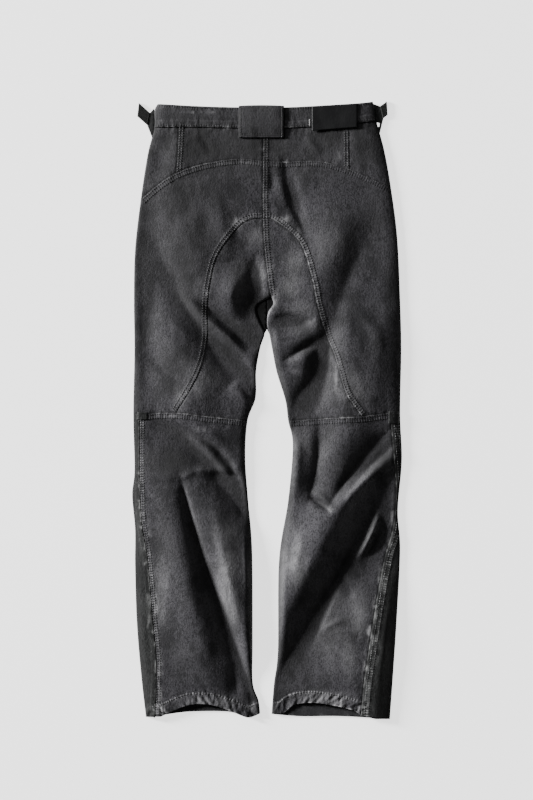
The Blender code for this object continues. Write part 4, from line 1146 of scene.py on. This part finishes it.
# %% One section of a side strip
def section(at, edge_at, height, normal, wall, low_x, inward):
    """A ring of points: over the back, round the folded edge, underneath and back inside."""
    edge_x, y = edge_at
    clear = np.maximum(inward * (at[:, 0] - normal[:, 0] * wall - edge_x), STRIP_INSIDE)
    inner_z = np.maximum(height - normal[:, 1] * wall, EDGE_TOP)
    top = np.column_stack([at, height])
    inner = np.column_stack([edge_x + inward * clear, at[:, 1], inner_z])
    under = [(edge_x, y, CLOTH * 0.55), (edge_x + inward * 0.25, y, CLOTH * 0.2),
             (edge_x + inward * 0.8, y, 0.0), (low_x, y, 0.0), (low_x, y, CLOTH),
             (edge_x + inward * STRIP_INSIDE, y, CLOTH)]
    return [*top, *under, *inner[::-1]]


def section_mask(values):
    """A mask round a section: as given on the back, as at its end on the edge, none below."""
    return np.concatenate([values, [values[-1]] * 3, np.zeros(3 + len(values))])


# %% Side strips
for side, edge_knots, outseam in (("left", SIDE_LEFT, OUTSEAM_LEFT),
                                  ("right", SIDE_RIGHT, OUTSEAM_RIGHT)):
    back, edge, low, inward = strip_lines(edge_knots, outseam)
    back = back - (inward * PLAY, 0.0)
    across = edge[:, None] + (back - edge)[:, None] * np.array(SHARES)[None, :, None]
    flat = across.reshape(-1, 2)
    grid = across.shape[:2]
    z, worn, painted_shade = (values.reshape(grid) for values in outer_face(
        flat, ("outseam_" + side, "knee_" + side, "hem_" + side)))
    wall = hem_wall(flat).reshape(grid)
    tilt = np.gradient(z, axis=1) / np.gradient(across[..., 0], axis=1)
    normal = np.stack([-tilt, np.ones_like(tilt)], axis=-1)
    normal /= np.linalg.norm(normal, axis=-1)[..., None]
    turn = 1 if inward > 0 else -1      # every ring runs the same way round
    rings = [section(across[r], edge[r], z[r], normal[r], wall[r], low[r, 0], inward)[::turn]
             for r in range(len(edge))]
    masks = [np.concatenate([section_mask(row)[::turn] for row in values])
             for values in (worn, painted_shade)]
    verts, faces = tube(rings)
    piece = add_piece(f"side_strip_{side}_cloth", verts, faces, [SIDE_WAXED_SHADED], masks, sharp=50)
    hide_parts("side_strip_" + side)
    print(f"side_strip_{side}: {len(faces)} faces")


# %% [markdown]
# ## The front, underneath
#
# The front panels lie flat on the table. Their inner face shows at the crotch and past the arched
# hems, so it is raw denim with a turned hem, and the waxed side is the one that rests. Deep in
# the crotch hardly any light gets in, and the cloth there is painted black as shade.

# %% Flat shells
def flat_shell(name, outline, low, thick, finishes, step=6.0, face=None, round_off=0.35,
               clearance=PLAY):
    """A level piece as a closed shell with softened edges, drawn in by a clearance."""
    rim = outline - outward(outline) * clearance
    points, faces = fill(rim, step)
    gap = to_nearest(points, rim)
    gap[:len(rim)] = 0.0
    added, worn, painted_shade = face(points, gap) if face else (
        np.zeros(len(points)), 0.4 * np.exp(-gap / 1.2), np.zeros(len(points)))
    z = low + thick + added - round_off * np.exp(-gap / 0.5)
    top = np.column_stack([points, z])
    below = np.column_stack([points, np.full(len(points), low)])
    verts, tris = close_shell(top, below, faces, len(rim))
    masks = (np.concatenate([worn, worn * 0]), np.concatenate([painted_shade, painted_shade]))
    inner = inner_faces(faces, len(tris)) if len(finishes) > 1 else None
    piece = add_piece(name + "_piece", verts, tris, finishes, masks, inner)
    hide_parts(name)
    print(f"{name}: {len(tris)} triangles")


# %% The inner side of a front
def front_face(points, _):
    """The inner side of a front: a turned hem, a little unevenness and painted shade deep in the crotch.
    """
    gaps = [nearest(points, curve(line, LINE_STEP))[0] for line in (FRONT_HEM_LEFT, FRONT_HEM_RIGHT)]
    gap = np.min(gaps, axis=0)
    x, y = points[:, 0], points[:, 1]
    wave = uneven(x / 8 + gap / 15, gap / 14, 61)
    added = (0.5 + 0.25 * wave) * smooth(0.2, 1.5, gap) * (1 - smooth(20.0, 22.0, gap))
    added -= 0.25 * np.exp(-((gap - 18.5) / 0.9) ** 2)
    worn = 0.8 * np.exp(-gap / 1.8) * (0.6 + 0.4 * wave) + 0.35 * np.clip(wave, 0, 1) * (gap < 20)
    # painted shade deep in the crotch
    crotch_shade = np.exp(-((x - CROTCH_AT[0]) / 30) ** 2 - ((y - CROTCH_AT[1]) / 44) ** 2)
    return added, np.clip(worn, 0, 1), np.clip(2.0 * crotch_shade, 0, 1)


# %% Front panels
FRONTS_MEET = -0.02  # the two fronts just touch, so the table's light stays out of the crotch
END_PLAY = 7.5       # the outline's last points stay this far from the next line
for side, edge_knots, inner, hem, outseam, waist_end in (
        ("left", SIDE_LEFT, INNER_LEFT, FRONT_HEM_LEFT, OUTSEAM_LEFT, 0),
        ("right", SIDE_RIGHT, INNER_RIGHT, FRONT_HEM_RIGHT, OUTSEAM_RIGHT, 4)):
    waist_line = curve(FRONT_WAIST_SEAM, first=2, last=waist_end)
    upper = curve(edge_knots, first=2, last=8)
    upper = upper[upper[:, 1] < waist_line[-1, 1] - END_PLAY]
    lower = strip_lines(edge_knots, outseam, 6.0)[2]
    bottom = curve(hem, first=len(hem) - 1, last=0)
    bottom = bottom[np.abs(bottom[:, 0]) < abs(lower[-1, 0]) - END_PLAY]
    flat_shell("front_" + side, loop(
        waist_line, upper, lower, bottom[::-1], curve(inner, first=4)[::-1],
        np.array([FRONT_CROTCH], float)), 0.0, CLOTH, [RAW, WAXED], face=front_face,
        round_off=0.05, clearance=FRONTS_MEET)

# %% Front waistband, shield and button
BUTTON_AT, BUTTON_RADIUS = np.array([0.0, 1029.0]), 8.5
turn = np.radians(np.linspace(-90, 90, 19))
bite = (BUTTON_RADIUS + 0.15) * np.column_stack([np.cos(turn), np.sin(turn)])
for side, end, facing in (("left", 0, -1), ("right", 4, 1)):
    flat_shell("waistband_front_" + side, loop(
        curve(FRONT_WAIST_SEAM, first=2, last=end)[::-1], BUTTON_AT + bite * (facing, 1),
        curve(FRONT_WAIST_TOP, first=2, last=end)), 0.0, BAND, [RAW, WAXED], step=4.0)
shield = np.array([(-12, 868), (24, 868), (24, 1006), (-12, 1006)], float)
flat_shell("fly_shield", loop(curve([*shield, shield[0]], 4.0)), CLOTH + 0.3, CLOTH, [RAW, WAXED],
           step=4.0)

# %% [markdown]
# The waist button is a turned piece, so it is a profile spun round its axis. It is flush between
# the two ends of the waistband, under the back.

# %% Waist button
# radius and height, from the middle of its underside round to the middle of its top
PROFILE = [(0.0, 0.9), (2.4, 0.9), (3.0, 0.5), (7.2, 0.45), (8.1, 0.7), (8.45, 1.2), (8.1, 1.75),
           (7.2, 2.0), (3.2, 1.9), (2.2, 1.5), (0.0, 1.4)]
TURNS = 48
rings = []
for radius, z in PROFILE:
    angle = np.linspace(0, 2 * math.pi, TURNS, endpoint=False)
    rings.append(np.column_stack([BUTTON_AT[0] + radius * np.cos(angle),
                                  BUTTON_AT[1] + radius * np.sin(angle), np.full(TURNS, z)]))
centre_low = np.array([[*BUTTON_AT, PROFILE[0][1]]])
centre_top = np.array([[*BUTTON_AT, PROFILE[-1][1]]])
verts = np.vstack([centre_low, *rings[1:-1], centre_top])
faces = []
for i in range(TURNS):
    j = (i + 1) % TURNS
    faces.append((0, 1 + j, 1 + i))
    for r in range(len(rings) - 3):
        a = 1 + r * TURNS
        faces.append((a + i, a + j, a + TURNS + j, a + TURNS + i))
    a = 1 + (len(rings) - 3) * TURNS
    faces.append((a + i, a + j, len(verts) - 1))
button = add_piece("waist_button_metal", verts, faces, [METAL], sharp=40)
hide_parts("waist_button")
print("button:", len(faces), "faces")

# %% [markdown]
# ## The wide belt loop
#
# A strip of denim folded in two, sewn to the yoke below and over the top edge of the band. It
# bridges the step at the waist seam. It is a grid: across its width, and round a profile that
# climbs the outside, bends in over the top edge and comes back down the inside.

# %% One ring of the loop
LOOP_WALL = 2.4      # two layers of denim
LOOP_HALF = 39.7     # half its width
LOOP_SEAT = 0.35     # how high it stands over the yoke
BAND_LIFT = BAND - CLOTH + 0.3      # and over the band
STITCHED = 4.5       # its lowest row of stitches is pressed in this far from the edge


def loop_edge(x):
    """How near a place across the loop is to one of its two sides."""
    return min(x - LOOP_LEFT, LOOP_RIGHT - x)


def loop_row(x):
    """One ring of points of the loop at a place across its width, and its worn mask."""
    edge = loop_edge(x)
    arch = 1.2 * (1 - ((x - (LOOP_LEFT + LOOP_RIGHT) / 2) / LOOP_HALF) ** 2) - 0.6
    ys = np.concatenate([[LOOP_LOW, LOOP_LOW + 0.3, LOOP_LOW + 0.9],
                         np.linspace(LOOP_LOW + 2.0, LOOP_HIGH - 2.0, 26)])
    at = np.column_stack([np.full(len(ys), x), ys])
    base = cloth_height(at)[0]
    base = np.convolve(np.pad(base, 2, mode="edge"), np.ones(5) / 5, mode="valid")
    lift = LOOP_SEAT + (BAND_LIFT - LOOP_SEAT) * smooth(1022.0, 1037.0, ys)
    crown = 0.5 * smooth(0.0, 14.0, np.full(len(ys), edge)) * smooth(0.0, 16.0, ys - LOOP_LOW)
    soft = uneven(np.full(len(ys), x / 13), ys / 16, 71) * 0.35
    z = base + lift + LOOP_WALL + (crown + soft) * smooth(0.0, 5.0, edge)
    z -= 1.5 * (1 - quarter(edge / 1.8)) + 1.5 * (1 - quarter((ys - LOOP_LOW) / 1.6))
    z -= 0.35 * np.exp(-((edge - 4.0) / 0.9) ** 2)
    z -= 0.35 * np.exp(-((ys - LOOP_LOW - STITCHED) / 0.9) ** 2)
    outside = [(x, y, h) for y, h in zip(ys, z)]
    top_y, top_z, inner = LOOP_HIGH + arch, z[-1], base[-1] + BAND_LIFT
    crest = [(x, top_y - 1.0, top_z - 0.25), (x, top_y - 0.3, top_z - 0.9),
             (x, top_y, top_z - 1.8), (x, top_y, inner - 2.4), (x, top_y - 1.0, inner - 2.5),
             (x, top_y - 1.0, inner)]
    inside_face = [(x, y, h) for y, h in zip(ys[::-1], (base + lift)[::-1])]
    ring = outside + crest + inside_face
    # painted shade: the left edge, which faces the lamp, is left unrubbed so it stays dark
    rub = (0.0 if x < -10 else 0.12) * np.exp(-edge / 1.4) + 0.05
    worn = np.full(len(ring), 0.1)
    patchy = 0.6 + 0.4 * uneven(np.full(len(ys), x / 6), ys / 6, 72)
    worn[:len(ys)] = patchy * (0.04 + rub * 0.7 + 0.6 * np.exp(-(ys - LOOP_LOW) / 1.4)
                               + 0.3 * np.exp(-((ys - LOOP_LOW - 6.0) / 1.5) ** 2))
    worn[len(ys):len(ys) + 3] = 0.3 * patchy[-1]
    return ring, np.clip(worn, 0, 1)


# %% Centre loop
xs = np.concatenate([[LOOP_LEFT, LOOP_LEFT + 0.4, LOOP_LEFT + 1.1],
                     np.linspace(LOOP_LEFT + 2.2, LOOP_RIGHT - 2.2, 34),
                     [LOOP_RIGHT - 1.1, LOOP_RIGHT - 0.4, LOOP_RIGHT]])[::-1]
rows = [loop_row(x) for x in xs]
verts, faces = tube([ring for ring, _ in rows])
worn = np.concatenate([mask for _, mask in rows])
beside = np.repeat([loop_edge(x) for x in xs], len(rows[0][1]))
# painted shade over the whole loop, strongest along its two sides
shaded = 0.50 + 0.45 * np.exp(-(beside / 2.6) ** 2)
belt_loop = add_piece("center_loop_cloth", verts, faces, [WAXED], (worn, shaded), sharp=55)
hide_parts("center_loop")
print("centre loop:", len(faces), "faces")

# %% [markdown]
# ## Patch, straps and tabs
#
# The patch is a plain rectangle of smooth leather, sewn on over the band, and a small piece of
# denim covers the outer end of each knee seam in the same way. Each strap is ribbed webbing folded
# back on itself, so it is two layers with a rounded fold, and the ribs are real relief because
# they are over a millimetre apart. It leaves from under a small denim tab.

# %% Pieces sewn on top of the back
SEWN_STEP = 1.8      # distance between the points of a piece sewn on


def polygon(corners, count):
    """An outline through corners, with so many points on a side of a given length."""
    corners = np.array(corners, float)
    return loop(*[np.linspace(a, b, count(np.linalg.norm(b - a)), endpoint=False)
                  for a, b in zip(corners, np.roll(corners, -1, axis=0))])


def sewn_on(name, corners, lift, thick, finish, seed):
    """A closed piece that follows the cloth below it, with rounded and slightly rubbed edges."""
    rim = polygon(corners, lambda length: max(4, round(length / SEWN_STEP)))
    points, faces = fill(rim, SEWN_STEP)
    z = cloth_height(points)[0] + lift
    gap = nearest(points, np.vstack([rim, rim[:1]]))[0]
    x, y = points[:, 0], points[:, 1]
    top = z + thick - 0.5 * thick * (1 - quarter(gap / 1.2)) + 0.12 * uneven(x / 14, y / 11, seed)
    verts, tris = close_shell(np.column_stack([points, top]), np.column_stack([points, z]),
                              faces, len(rim))
    worn = 0.16 * np.exp(-gap) * (0.5 + 0.5 * uneven(x / 6, y / 6, seed + 1))
    worn = np.clip(np.maximum(worn, 0.1 * uneven(x / 20, y / 12, seed + 2)), 0, 1)
    piece = add_piece(name, verts, tris, [finish],
                      (np.concatenate([worn, worn]), np.zeros(len(verts))))
    print(f"{name}: {len(tris)} triangles")
    return piece


PATCH = [(78.5, 1028.5), (157.5, 1034.8), (157.5, 1076.0), (78.5, 1071.3)]
patch = sewn_on("patch_leather_piece", PATCH, BAND_LIFT, 1.5, LEATHER, 81)
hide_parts("patch")
KNEE_TAB_LEFT = [(-226.5, 523.5), (-209.5, 524.0), (-209.0, 536.5), (-226.0, 537.5)]
KNEE_TAB_RIGHT = [(212.5, 517.5), (230.5, 515.5), (231.0, 538.0), (213.0, 538.5)]
for side, corners in (("left", KNEE_TAB_LEFT), ("right", KNEE_TAB_RIGHT)):
    sewn_on("knee_tab_" + side, corners, 0.3, 0.8, SIDE_WAXED_SHADED, 84)

# %% Webbing straps
RIB_PITCH = 2.1
RIB_WAY = np.array([0.83, 0.56])    # the ribs lie across this direction
RIB_RISE = 0.30
STRAP_THICK = 2.9                   # two layers of webbing
SMALL_ROUND = 0.9                   # how far the edges of straps and tabs are rounded down


def webbing(fold_side):
    """Relief of a strap: fine slanting ribs, firm edges and the fold at its outer end, with painted
    shade between the ribs.
    """
    def face(points, gap):
        rib = np.sin(points @ RIB_WAY * 2 * math.pi / RIB_PITCH)
        edge = 0.25 * np.exp(-((gap - 1.2) / 0.8) ** 2)
        end = np.abs(points[:, 0] - fold_side)
        added = RIB_RISE * rib * smooth(0.4, 1.6, gap) + edge - 1.1 * (1 - quarter(end / 3.0))
        # painted shade in the valleys between the ribs
        return added, 0.05 + 0.20 * np.clip(rib, 0, 1), 0.5 * np.clip(-rib, 0, 1)
    return face


STRAP_LEFT = [(-224.4, 1078.5), (-227.2, 1054.6), (-208.6, 1038.4), (-204.4, 1060.2)]
STRAP_RIGHT = [(197.2, 1071.6), (209.7, 1081.0), (211.2, 1057.0), (202.6, 1050.4)]
for side, corners, fold_x in (("left", STRAP_LEFT, -227.0), ("right", STRAP_RIGHT, 211.0)):
    flat_shell(f"side_strap_{side}", polygon(corners, lambda length: 30), 0.0, STRAP_THICK, [WEBBING],
               step=0.62, face=webbing(fold_x), round_off=SMALL_ROUND)


# %% Denim tabs
def tab_face(points, gap):
    """A sewn, turned edge with a row of stitches pressed in, and painted shade along its rim."""
    wave = uneven(points[:, 0] / 5, points[:, 1] / 5, 91)
    added = 0.2 * wave - 0.3 * np.exp(-((gap - 2.2) / 0.6) ** 2)
    # painted shade along the rim
    return added, np.clip((0.12 * np.exp(-gap) + 0.08) * (0.6 + 0.4 * wave), 0, 1), 0.5 * np.exp(-gap)


TAB_LEFT = [(-205.1, 1060.0), (-198.0, 1068.6), (-195.6, 1060.0), (-195.4, 1034.0),
            (-200.6, 1015.6), (-209.4, 1037.9)]
TAB_RIGHT = [(185.4, 1076.9), (197.9, 1072.0), (203.6, 1050.0), (196.6, 1021.6), (194.6, 1027.0),
             (192.4, 1036.0), (196.4, 1036.6), (197.0, 1042.6), (190.6, 1044.0), (187.4, 1064.0)]
for side, corners in (("left", TAB_LEFT), ("right", TAB_RIGHT)):
    rim = polygon(corners, lambda length: max(3, int(length)))
    flat_shell(f"side_tab_{side}", rim, 0.0, BAND, [SIDE_WAXED_SHADED], step=1.2, face=tab_face,
               round_off=SMALL_ROUND)

# %% [markdown]
# ## Stitches
#
# Each stitch is a short rounded bead of thread, pressed into the cloth. Its place is found by
# walking along the seam at the row's distance, and its height by dropping a ray onto the finished
# panels, so it sits on every pucker. All the beads of one garment part are one mesh.

# %% Where the stitches go
LAP_SIDE = {name: -side for name, side in UNDER_SIDE.items()}
LAP_SIDE.update(hem_left=1, hem_right=-1, band_top=-1)
STITCH_LENGTH, STITCH_WIDTH = 3.1, 0.95
STITCH_RISE = 0.12   # how far the middle of a stitch stays above the cloth
DOWN = Vector((0, 0, -1))
SKY = 60.0           # rays start above everything


def joined_tree(names):
    """One search tree over the outer faces of several pieces, in millimetres."""
    verts, tris = [], []
    for name in names:
        mesh = made_pieces[name].data
        at = np.zeros(len(mesh.vertices) * 3, np.float32)
        mesh.vertices.foreach_get("co", at)
        at = at.reshape(-1, 3) / MM + FRAME_ORIGIN
        tris += [tuple(len(verts) + i for i in face.vertices) for face in mesh.polygons]
        verts += at.tolist()
    return BVHTree.FromPolygons(verts, tris)


def stations(line, distance):
    """One point for each stitch, at a distance to the left of a line, and the way it runs."""
    size = np.linalg.norm(np.diff(line, axis=0), axis=1)
    run = np.concatenate([[0.0], np.cumsum(size)])
    at = np.arange(STITCH_PITCH / 2, run[-1] - STITCH_PITCH / 2, STITCH_PITCH)
    behind, ahead = (np.column_stack([np.interp(at + part, run, line[:, k]) for k in (0, 1)])
                     for part in (-1.0, 1.0))
    way = ahead - behind
    way /= np.maximum(np.linalg.norm(way, axis=1), 1e-9)[:, None]
    return (behind + ahead) / 2 + distance * np.stack([-way[:, 1], way[:, 0]], axis=1), way


# %% One bead of thread
RINGS = [(-0.40, 0.62), (-0.18, 1.0), (0.18, 1.0), (0.40, 0.62)]
SPOKES = 5


def bead(centre, along, across, up, length, width):
    """Points of one stitch, half sunk in the cloth and a little flat."""
    points = [centre - along * length * 0.5]
    for share, size in RINGS:
        for k in range(SPOKES):
            angle = 2 * math.pi * k / SPOKES + math.pi / 2
            out = across * math.cos(angle) * 0.5 + up * math.sin(angle) * 0.42
            points.append(centre + along * length * share + out * width * size)
    points.append(centre + along * length * 0.5)
    return points


BEAD_FACES = [(0, 1 + (k + 1) % SPOKES, 1 + k) for k in range(SPOKES)]
for r in range(len(RINGS) - 1):
    for k in range(SPOKES):
        a, b = 1 + r * SPOKES, 1 + (r + 1) * SPOKES
        BEAD_FACES.append((a + k, a + (k + 1) % SPOKES, b + (k + 1) % SPOKES, b + k))
last = 1 + (len(RINGS) - 1) * SPOKES
BEAD_FACES += [(last + k, last + (k + 1) % SPOKES, last + SPOKES) for k in range(SPOKES)]
BEAD_POINTS = 2 + len(RINGS) * SPOKES
print("a stitch:", BEAD_POINTS, "points,", len(BEAD_FACES), "faces")


def bead_mesh(beads):
    """Points and faces of many stitches as one mesh."""
    verts = np.array([point for points in beads for point in points])
    faces = [tuple(n * BEAD_POINTS + i for i in face)
             for n in range(len(beads)) for face in BEAD_FACES]
    return verts, faces


# %% Sew rows of stitches
def sew(name, rows, cloth, skip=()):
    """Beads along rows of stitches: each row a line, a distance to its left and how worn it is."""
    beads, row_wear = [], []
    for line, distance, worn in rows:
        places, way = stations(line, distance)
        for (x, y), (dx, dy), gap in zip(places, way, to_sides(places)[0]):
            if gap < 2.0 or any(x0 < x < x1 and y0 < y < y1 for x0, y0, x1, y1 in skip):
                continue
            hit, normal, _, _ = cloth.ray_cast(Vector((x, y, SKY)), DOWN)
            if hit is None:
                continue
            up = Vector(normal).lerp(-DOWN, 0.5).normalized()
            along = Vector((dx, dy, 0.0))
            along = (along - up * along.dot(up)).normalized()
            beads.append(bead(hit + up * STITCH_RISE, along, up.cross(along), up,
                              STITCH_LENGTH, STITCH_WIDTH))
            row_wear += [worn] * BEAD_POINTS
    verts, faces = bead_mesh(beads)
    patchy = 0.35 + 0.8 * uneven(verts[:, 0] / 9, verts[:, 1] / 9, 95)
    masks = (np.clip(row_wear * patchy, 0.0, 1.0), np.zeros(len(verts)))
    piece = add_piece(name, verts, faces, [THREAD], masks)
    print(f"{name}: {len(beads)} stitches")


# %% Sew the seams
panels = joined_tree([n for n in made_pieces if n.endswith("_cloth") and not n.startswith("center")])
COVERED = [          # left, lowest, right, highest: under the loop and under the patch
    (LOOP_LEFT - 1, LOOP_LOW - 1, LOOP_RIGHT + 1, LOOP_HIGH + 3),
    (77.0, 1027.0, 159.0, 1080.0),
]
GROUPS = {
    "stitches_waist": ("waist", "band_top"),
    "stitches_yoke": ("yoke", "dart_left", "dart_right"),
    "stitches_saddle": ("centre", "saddle_left", "saddle_right"),
    "stitches_knee": ("knee_left", "knee_right"),
    "stitches_legs": ("outseam_left", "outseam_right", "hem_left", "hem_right"),
}
for name, names in GROUPS.items():
    rows = []
    for seam_name in names:
        seam = SEAMS[seam_name]
        rows += [(curve(seam.line, LINE_STEP), LAP_SIDE[seam_name] * distance,
                  seam.wear if distance == seam.rows[0] else 0.6 * seam.wear)
                 for distance in seam.rows]
    sew(name, rows, panels, COVERED)

# %% Sew the loop, and a bar beside the patch
LOOP_ROWS = [
    # from, to, distance to the left, wear
    ((LOOP_LEFT, LOOP_LOW), (LOOP_LEFT, LOOP_HIGH), -4.0, 0.2),
    ((LOOP_RIGHT, LOOP_LOW), (LOOP_RIGHT, LOOP_HIGH), 4.0, 0.3),
    ((LOOP_LEFT + 3, LOOP_LOW), (LOOP_RIGHT - 3, LOOP_LOW), STITCHED, 0.6),
    ((LOOP_LEFT + 3, LOOP_LOW), (LOOP_RIGHT - 3, LOOP_LOW), STITCHED + 3, 0.4),
]
sew("stitches_loop", [(np.linspace(start, end, 30), distance, worn)
                      for start, end, distance, worn in LOOP_ROWS],
    joined_tree(["center_loop_cloth", "patch_leather_piece"]))

BAR_X, BAR_LOW, BAR_HIGH, BAR_PITCH = 74.6, 1037.5, 1048.5, 0.9
beads = []
for y in np.arange(BAR_LOW, BAR_HIGH, BAR_PITCH):
    hit = panels.ray_cast(Vector((BAR_X, y, SKY)), DOWN)[0]
    beads.append(bead(hit - DOWN * 0.15, Vector((1, 0, 0)), Vector((0, 1, 0)), -DOWN, 2.2, 1.0))
verts, faces = bead_mesh(beads)
bar = add_piece("bar_of_stitches", verts, faces, [PALE_THREAD],
                (np.full(len(verts), 0.2), np.zeros(len(verts))))
print("bar beside the patch:", len(beads), "stitches")

# %% [markdown]
# ## The finished pieces
#
# The number of faces of each finished piece is printed.

# %% Finish
print({name: len(piece.data.polygons) for name, piece in made_pieces.items()})
